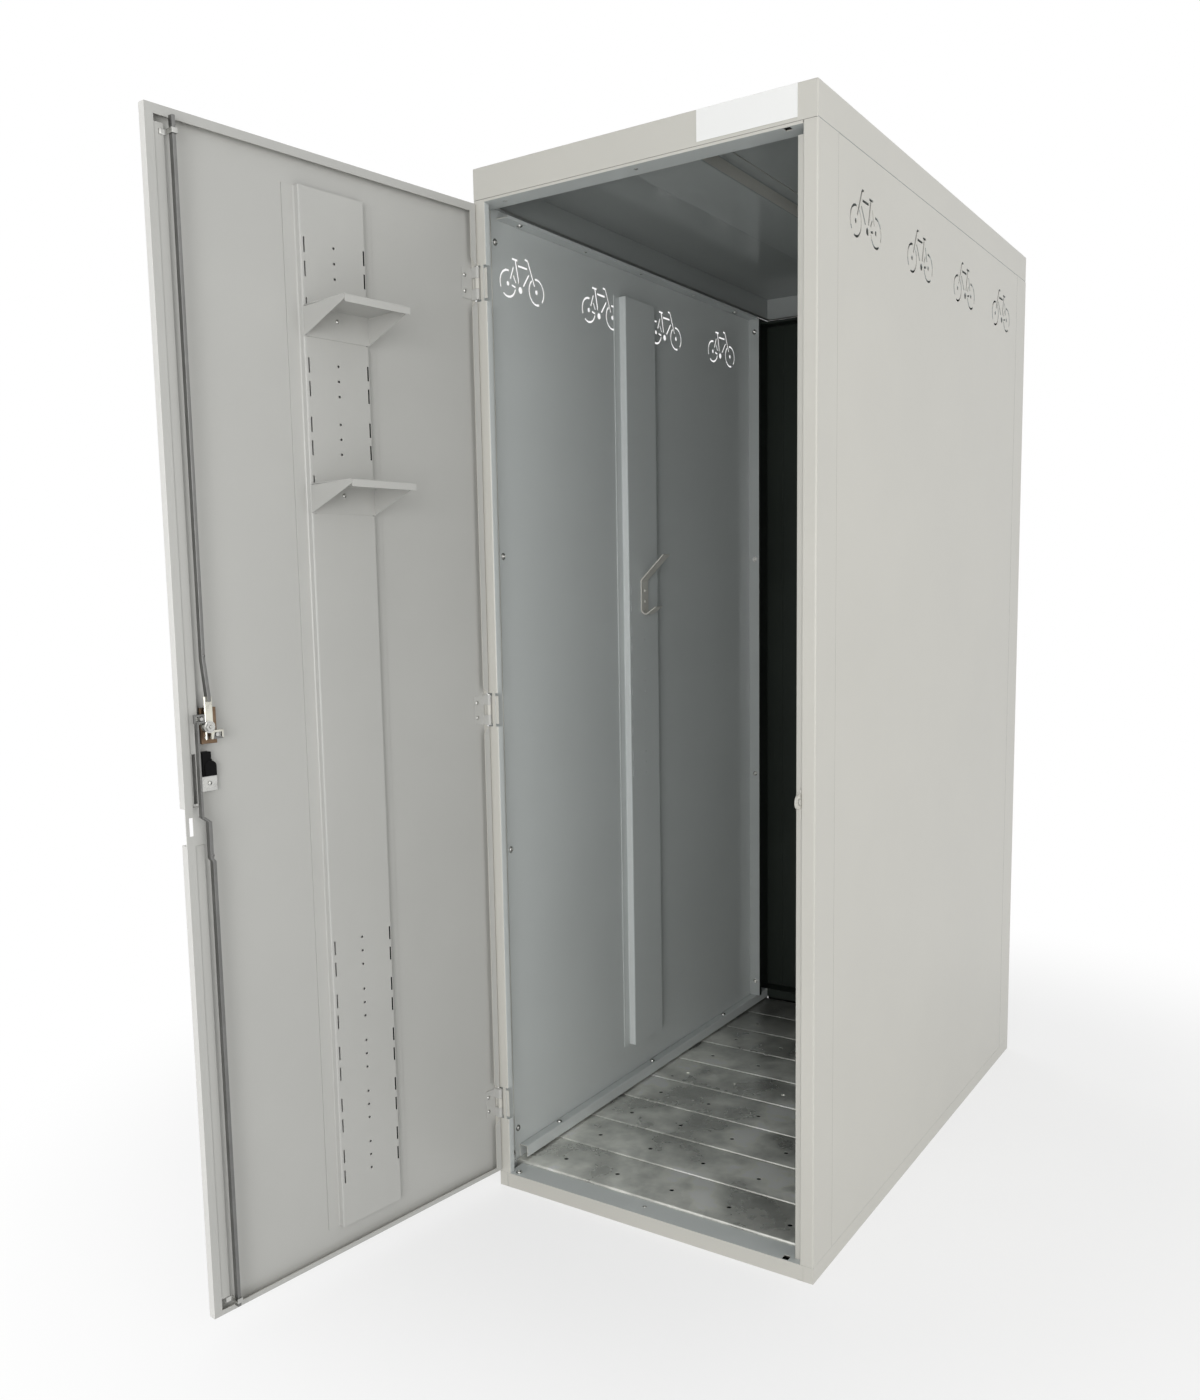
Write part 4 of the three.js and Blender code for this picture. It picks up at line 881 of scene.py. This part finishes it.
class LOCKER_OT_floor(bpy.types.Operator):
    """Folds and drills the floor planks"""
    bl_idname = "locker.floor"
    bl_label = "Floor planks"

    def execute(self, context):
        given = context.scene.locker_floor
        tree = tree_of("plank", plank_tree)
        for node in sorted(n for n in NODES if n.startswith("floor_plank")):
            low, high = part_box(node)
            mesh = grow(tree, bpy.data.meshes.new(node), {
                "Length": high.x - low.x, "Depth": high.y - low.y, "Drop": high.z - low.z,
                "Sheet": SHEET * MM, "Edge Radius": given.edge_radius,
                "Hole Radius": given.hole_radius, "Hole Pitch": given.hole_pitch,
                "Hole Count": given.hole_count, "Hole Inset": given.hole_inset,
                "Corner": (0, low.y, high.z), "Material": finishes()["galvanised"]})
            shade(mesh)
            finish_piece(mesh, node + "_finished", [node])
        return {"FINISHED"}


class LOCKER_OT_door_sheets(bpy.types.Operator):
    """Rounds the folds of the door's sheets and gives them their finish"""
    bl_idname = "locker.door_sheets"
    bl_label = "Door sheets"

    pieces = ("door_edge_stiffener", "shelf_lower", "shelf_upper")
    free_edge_from = 674.0

    def execute(self, context):
        for node in self.pieces:
            # Painted shade: the stiffener and shelves take the darker coat of the door's inside
            folded_copy(node, node + "_finished", finish="door_inside_shade")
        folded_copy("door_pan", "door_pan_finished", PAN_RADIUS, part=(
            ("powder_coat", "door_inside_shade", "free_edge_highlight"), self.pan_finish))
        reach = [(DOOR_TURN.inverted() @ Vector(v.co)).x / MM
                 for v in NODES["door_channel"].data.vertices]
        middle = (min(reach) + max(reach)) / 2
        # Painted shade: faces of the channel that look at the pan or into the channel get the
        # near-black rear coat, which darkens its slots
        folded_copy("door_channel", "door_channel_finished", part=(
            ("door_inside_shade", "rear"),
            lambda place, way: int(
                way.y < -LOOKS_ALONG or way.x * (place.x - middle) < -LOOKS_ALONG)))
        return {"FINISHED"}

    def pan_finish(self, place, way):
        """Outside, inside with painted shade, or free edge with a painted highlight, of the
        door.
        """
        if place.x > self.free_edge_from and way.x > LOOKS_ALONG:
            return 2
        return int(way.y > LOOKS_ALONG)


class LOCKER_OT_lock(bpy.types.Operator):
    """Gives hinges, lock and handle their finish"""
    bl_idname = "locker.lock"
    bl_label = "Hinges, lock and handle"

    pieces = (
        "rod_guide_lower", "rod_guide_upper", "lock_bracket", "handle_plate",
        "handle_clamp", "lock_cam", "handle_spindle", "spindle_nut", "handle_lever",
    )
    # The door's leaf takes the darker coat of the door's inside, with painted shade
    hinge_finishes = {
        "hinge_frame_leaf": "powder_coat", "hinge_pin": None, "hinge_door_leaf": "door_inside_shade"}
    # The upper rod's brightly plated foot, on the door, in millimetres
    foot_heights = (1005.0, 1076.5)
    foot_from = 625.8
    foot_top = 13.4

    def execute(self, context):
        for node in self.pieces:
            folded_copy(node, node + "_finished", LOCK_RADIUS)
        folded_copy("upper_rod", "upper_rod_finished", ROD_RADIUS, part=(
            ("bar_steel", "bright_plate"), self.rod_finish))
        folded_copy("lower_rod", "lower_rod_finished", ROD_RADIUS, finish="bar_steel")
        for index in HINGES:
            for kind, finish in self.hinge_finishes.items():
                node = f"{kind}_{index}"
                folded_copy(node, node + "_finished", HINGE_RADIUS, finish=finish)
        return {"FINISHED"}

    def rod_finish(self, place, way):
        """Bar steel, or bright plate on the foot."""
        low, high = self.foot_heights
        return int(low < place.z < high and place.y < self.foot_top
                   and place.x > self.foot_from)


HINGES = (1, 2, 3)
UP, DOWN, REARWARD, FRONTWARD = (0, 0, 1), (0, 0, -1), (0, 1, 0), (0, -1, 0)


class LOCKER_OT_fasteners(bpy.types.Operator):
    """Sets the bolts, rivets and screws on the sheets that they hold"""
    bl_idname = "locker.fasteners"
    bl_label = "Bolts, rivets and screws"

    # Places on the right side of the cabinet in millimetres. The left side's are mirrored.
    sill_bolts = [(338, along, 62) for along in (-450, -44, 341)]
    rail_bolts = [(334, along, 1953) for along in (-525, 418)]
    rail_rivets = [(334, along, 1953) for along in (-290, -60, 190)]
    rear_bolts = [(331, 530, height) for height in (105, 711, 1311, 1921)]
    low_bolt = (348.5, -607, 50)
    post_heights = (100.5, 704, 1303.6, 1909.7)
    front_bolts = {
        "left": [low_bolt] + [(346.7, -590, height) for height in post_heights],
        "right": [low_bolt] + [(348.5, -607, height) for height in post_heights],
    }

    # Single places on the cabinet, then those in the door's frame
    header_rivets = [("header_front", (across, -630, 1966), DOWN) for across in (-289, 0)]
    threshold_bolt = ("sill_front", (-311, -636, 30), UP)
    threshold_rivet = ("sill_front", (-16, -620, 30), UP)
    hook_screws = [("coat_hook", (-328.4, -68, height), (1, 0, 0)) for height in (1205, 1230)]
    shelf_screws = [
        ("shelf_upper", (337.5, 1.8, 1697), REARWARD),
        ("shelf_lower", (337.5, 1.8, 1404), REARWARD)]
    lock_screws = [
        ("lock_bracket", (632, 4, 1010), REARWARD),
        ("handle_clamp", (626, -3.8, 935), REARWARD)]
    rod_rivets = {"upper_rod": (637, 17, 1141), "lower_rod": (640, 17, 821)}

    # Places of the hinge screws, from the middle of the hinge up and down
    frame_leaf_screw = (-330, -646.7)
    door_leaf_screw = (22, -11.7)
    hinge_screw_rise = 14.75

    # Head height, washer height, shares of washer and recess in the radius, recess sides
    bolt_shape = (3.2, 0.8, 1.3, 0.5, 6)
    screw_shape = (2.0, 0.4, 1.02, 0.42, 4)
    rivet_shape = (1.1, 0.35, 1.25, 0.35, 12)

    # Head radius and height, washer radius and height, recess radius and sides
    rod_rivet_sizes = (2.4, 0.9, 2.9, 0.3, 0.8, 12)

    def execute(self, context):
        given = context.scene.locker_fasteners
        bolt = self.sizes(given.bolt_radius, *self.bolt_shape)
        screw = self.sizes(given.screw_radius, *self.screw_shape)
        rivet = self.sizes(given.rivet_radius, *self.rivet_shape)
        bolts, rivets = [], []
        for side, name in ((-1, "left"), (1, "right")):
            for piece, places, facing in (
                    ("sill_", self.sill_bolts, UP),
                    ("top_rail_", self.rail_bolts, DOWN),
                    ("post_front_", self.front_bolts[name], (-side, 0, 0)),
                    ("post_rear_", self.rear_bolts, FRONTWARD)):
                bolts += self.mirrored(piece + name, side, places, facing)
            rivets += self.mirrored("top_rail_" + name, side, self.rail_rivets, DOWN)
        bolts.append(self.threshold_bolt)
        rivets += [*self.header_rivets, self.threshold_rivet]
        frame_screws = self.hinge_seats("hinge_frame_leaf", self.frame_leaf_screw)
        door_screws = self.hinge_seats("hinge_door_leaf", self.door_leaf_screw)
        door_screws += self.shelf_screws
        for name, body, seats, finish, sizes in (
                ("frame_bolts", "cabinet", bolts, "zinc_steel", bolt),
                ("blind_rivets", "cabinet", rivets, "zinc_steel", rivet),
                ("post_hinge_screws", "cabinet", frame_screws, "zinc_steel", screw),
                ("hook_screws", "cabinet", self.hook_screws, "powder_coat", screw),
                ("door_screws", "door", door_screws, "zinc_steel", screw),
                ("lock_screws", "door", self.lock_screws, "zinc_steel", screw)):
            fasteners(name, body, seats, finish, finish, sizes)
        for rod, place in self.rod_rivets.items():
            fasteners(rod + "_rivet", rod, [(rod, place, REARWARD)], "bar_steel",
                      "zinc_steel", self.rod_rivet_sizes)
        return {"FINISHED"}

    def sizes(self, radius, height, washer, washer_share, recess_share, sides):
        """Sizes of one kind of fastener in millimetres, in the order that its tree wants."""
        radius /= MM
        return (radius, height, radius * washer_share, washer, radius * recess_share, sides)

    def mirrored(self, node, side, places, facing):
        return [(node, (side * across, along, height), facing)
                for across, along, height in places]

    def hinge_seats(self, kind, place):
        """Two screws on each hinge leaf of a kind."""
        seats = []
        for index in HINGES:
            low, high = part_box(f"hinge_door_leaf_{index}")
            middle = (low.z + high.z) / 2 / MM
            for rise in (-self.hinge_screw_rise, self.hinge_screw_rise):
                seats.append((f"{kind}_{index}", (*place, middle + rise), REARWARD))
        return seats


# Camera that was fitted to the photograph's edges: where it stands and how it is turned,
# its lens and sensor in millimetres, and its shift
CAMERA_PLACE = (1.14413, -2.52703, 1.23097)
CAMERA_RIGHT = (0.833091, 0.552844, -0.017977)
CAMERA_DOWN = (0.051018, -0.109160, -0.992714)
CAMERA_AHEAD = (-0.550779, 0.826104, -0.119145)
CAMERA_LENS = 30.886
CAMERA_SENSOR = 36.0
CAMERA_SHIFT = (0.00789, 0.02534)


class LOCKER_OT_stage(bpy.types.Operator):
    """Makes the floor, the lights and the camera"""
    bl_idname = "locker.stage"
    bl_label = "Stage"

    sky_tint = (0.985, 1.0, 1.0, 1)
    white = (1, 1, 1, 1)
    floor_radius = 14.0
    floor_tones = ((0.82, 0.82, 0.82, 1), (0.85, 0.85, 0.85, 1))
    # Painted shade: near-black ground under the locker's footprint, seen through the holes of
    # the planks
    shaded_ground = (0.012, 0.011, 0.010, 1)

    # Distances from the locker's middle between which its shadow fades away
    fade_from = 0.8
    fade_to = 1.9

    # Name, place, aim, size and colour of each light. The user's values give its power.
    lights = (
        ("Key", (3.7, -1.3, 1.8), (0.35, 0.0, 1.0), 3.2, (1.0, 0.985, 0.95)),
        ("Fill", (1.6, -4.8, 1.3), (-0.1, -0.2, 0.8), 2.2, (1, 1, 1)),
        ("Back", (-3.4, 3.0, 2.6), (-0.2, 0.2, 1.0), 3.0, (1, 1, 1)),
    )

    def execute(self, context):
        scene = context.scene
        given = scene.locker_studio
        scene.view_settings.view_transform = "Standard"
        self.make_camera(scene)
        self.make_sky(scene, given.sky)
        self.make_floor(given.shadow_share)
        for name, place, aim, size, colour in self.lights:
            power = getattr(given, name.lower())
            self.make_light(name, place, aim, size, power, colour)
        return {"FINISHED"}

    def make_camera(self, scene):
        data = bpy.data.cameras.new("Camera")
        data.sensor_width = CAMERA_SENSOR
        data.lens = CAMERA_LENS
        data.shift_x, data.shift_y = CAMERA_SHIFT
        camera = linked("Camera", data)
        right, up = Vector(CAMERA_RIGHT), -Vector(CAMERA_DOWN)
        back = -Vector(CAMERA_AHEAD)
        turn = Matrix((right, up, back)).transposed().to_4x4()
        camera.matrix_world = Matrix.Translation(CAMERA_PLACE) @ turn
        scene.camera = camera

    def make_sky(self, scene, strength):
        world = bpy.data.worlds.new("Studio")
        scene.world = world
        world.use_nodes = True
        tree = world.node_tree
        tree.nodes.clear()
        seen = self.seen_directly(tree)
        light = add(tree, "ShaderNodeBackground",
                    {"Color": self.sky_tint, "Strength": strength})
        white = add(tree, "ShaderNodeBackground", {"Color": self.white, "Strength": 1.0})
        both = add(tree, "ShaderNodeMixShader",
                   {0: seen, 1: light.outputs[0], 2: white.outputs[0]})
        end = tree.nodes.new("ShaderNodeOutputWorld")
        tree.links.new(both.outputs[0], end.inputs["Surface"])

    def seen_directly(self, tree):
        """1 for what the camera, a reflection or a view through glass shows."""
        path = tree.nodes.new("ShaderNodeLightPath").outputs
        either = maths(tree, "MAXIMUM", path["Is Camera Ray"], path["Is Glossy Ray"])
        return maths(tree, "MAXIMUM", either, path["Is Transmission Ray"])

    def make_floor(self, shadow_share):
        work = bmesh.new()
        bmesh.ops.create_circle(
            work, cap_ends=True, segments=96, radius=self.floor_radius)
        mesh = bpy.data.meshes.new("Studio floor")
        work.to_mesh(mesh)
        work.free()
        made, tree, shader, place = new_material("Pale floor")
        tone = ramp(tree, noise(tree, place, scale=1.5), low=0.3, high=0.7)
        colour = mix(tree, tone, *self.floor_tones)
        shader.inputs["Roughness"].default_value = 0.8
        away = add(tree, "ShaderNodeVectorMath", {0: place}, operation="LENGTH")
        fade = ramp(tree, away.outputs["Value"], self.fade_from, self.fade_to,
                    low_out=1.0 - shadow_share)
        sides = add(tree, "ShaderNodeSeparateXYZ", {0: place}).outputs
        beside = maths(tree, "SUBTRACT", maths(tree, "ABSOLUTE", sides[0]), RIGHT * MM)
        beyond = maths(tree, "SUBTRACT", maths(tree, "ABSOLUTE", sides[1]), BACK * MM)
        outside = ramp(tree, maths(tree, "MAXIMUM", beside, beyond), low=-0.01, high=0.0)
        # Painted shade: the ground within the footprint is near-black
        shaded_under = mix(tree, outside, self.shaded_ground, colour)
        tree.links.new(shaded_under, shader.inputs["Base Color"])
        shown = maths(tree, "MULTIPLY", fade, outside)
        share = maths(tree, "MULTIPLY", self.seen_directly(tree), shown)
        white = add(tree, "ShaderNodeEmission", {"Color": self.white, "Strength": 1.0})
        both = add(tree, "ShaderNodeMixShader", {
            0: share, 1: shader.outputs[0], 2: white.outputs[0]})
        wire(tree, tree.nodes["Material Output"], {"Surface": both.outputs[0]})
        mesh.materials.append(made)
        linked("Studio floor", mesh)

    def make_light(self, name, place, aim, size, power, colour):
        data = bpy.data.lights.new(name, "AREA")
        data.shape = "DISK"
        data.size = size
        data.energy = power
        data.color = colour
        light = linked(name, data)
        way = Vector(aim) - Vector(place)
        light.matrix_world = (
            Matrix.Translation(place) @ way.to_track_quat("-Z", "Y").to_matrix().to_4x4())


OPERATORS = (
    LOCKER_OT_stage,
    LOCKER_OT_cabinet_sheets,
    LOCKER_OT_floor,
    LOCKER_OT_door_sheets,
    LOCKER_OT_lock,
    LOCKER_OT_fasteners,
)


class LOCKER_PT_panel(bpy.types.Panel):
    """Lists the steps that make the locker"""
    bl_idname = "LOCKER_PT_panel"
    bl_label = "Bicycle locker"
    bl_space_type = "VIEW_3D"
    bl_region_type = "UI"
    bl_category = "Locker"

    def draw(self, context):
        for group in SETTINGS:
            given = getattr(context.scene, group)
            for name in given.__annotations__:
                self.layout.prop(given, name)
        for operator in OPERATORS:
            self.layout.operator(operator.bl_idname)


SETTINGS = {
    "locker_finish": LockerFinish,
    "locker_folds": LockerFolds,
    "locker_floor": LockerFloor,
    "locker_fasteners": LockerFasteners,
    "locker_studio": LockerStudio,
}
CLASSES = (*SETTINGS.values(), *OPERATORS, LOCKER_PT_panel)


def register():
    for made in CLASSES:
        bpy.utils.register_class(made)
    for name, group in SETTINGS.items():
        setattr(bpy.types.Scene, name, PointerProperty(type=group))


def unregister():
    for name in SETTINGS:
        delattr(bpy.types.Scene, name)
    for made in reversed(CLASSES):
        bpy.utils.unregister_class(made)


def main():
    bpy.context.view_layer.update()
    register()
    for operator in OPERATORS:
        group, step = operator.bl_idname.split(".")
        getattr(getattr(bpy.ops, group), step)()


if __name__ == "__main__":
    main()
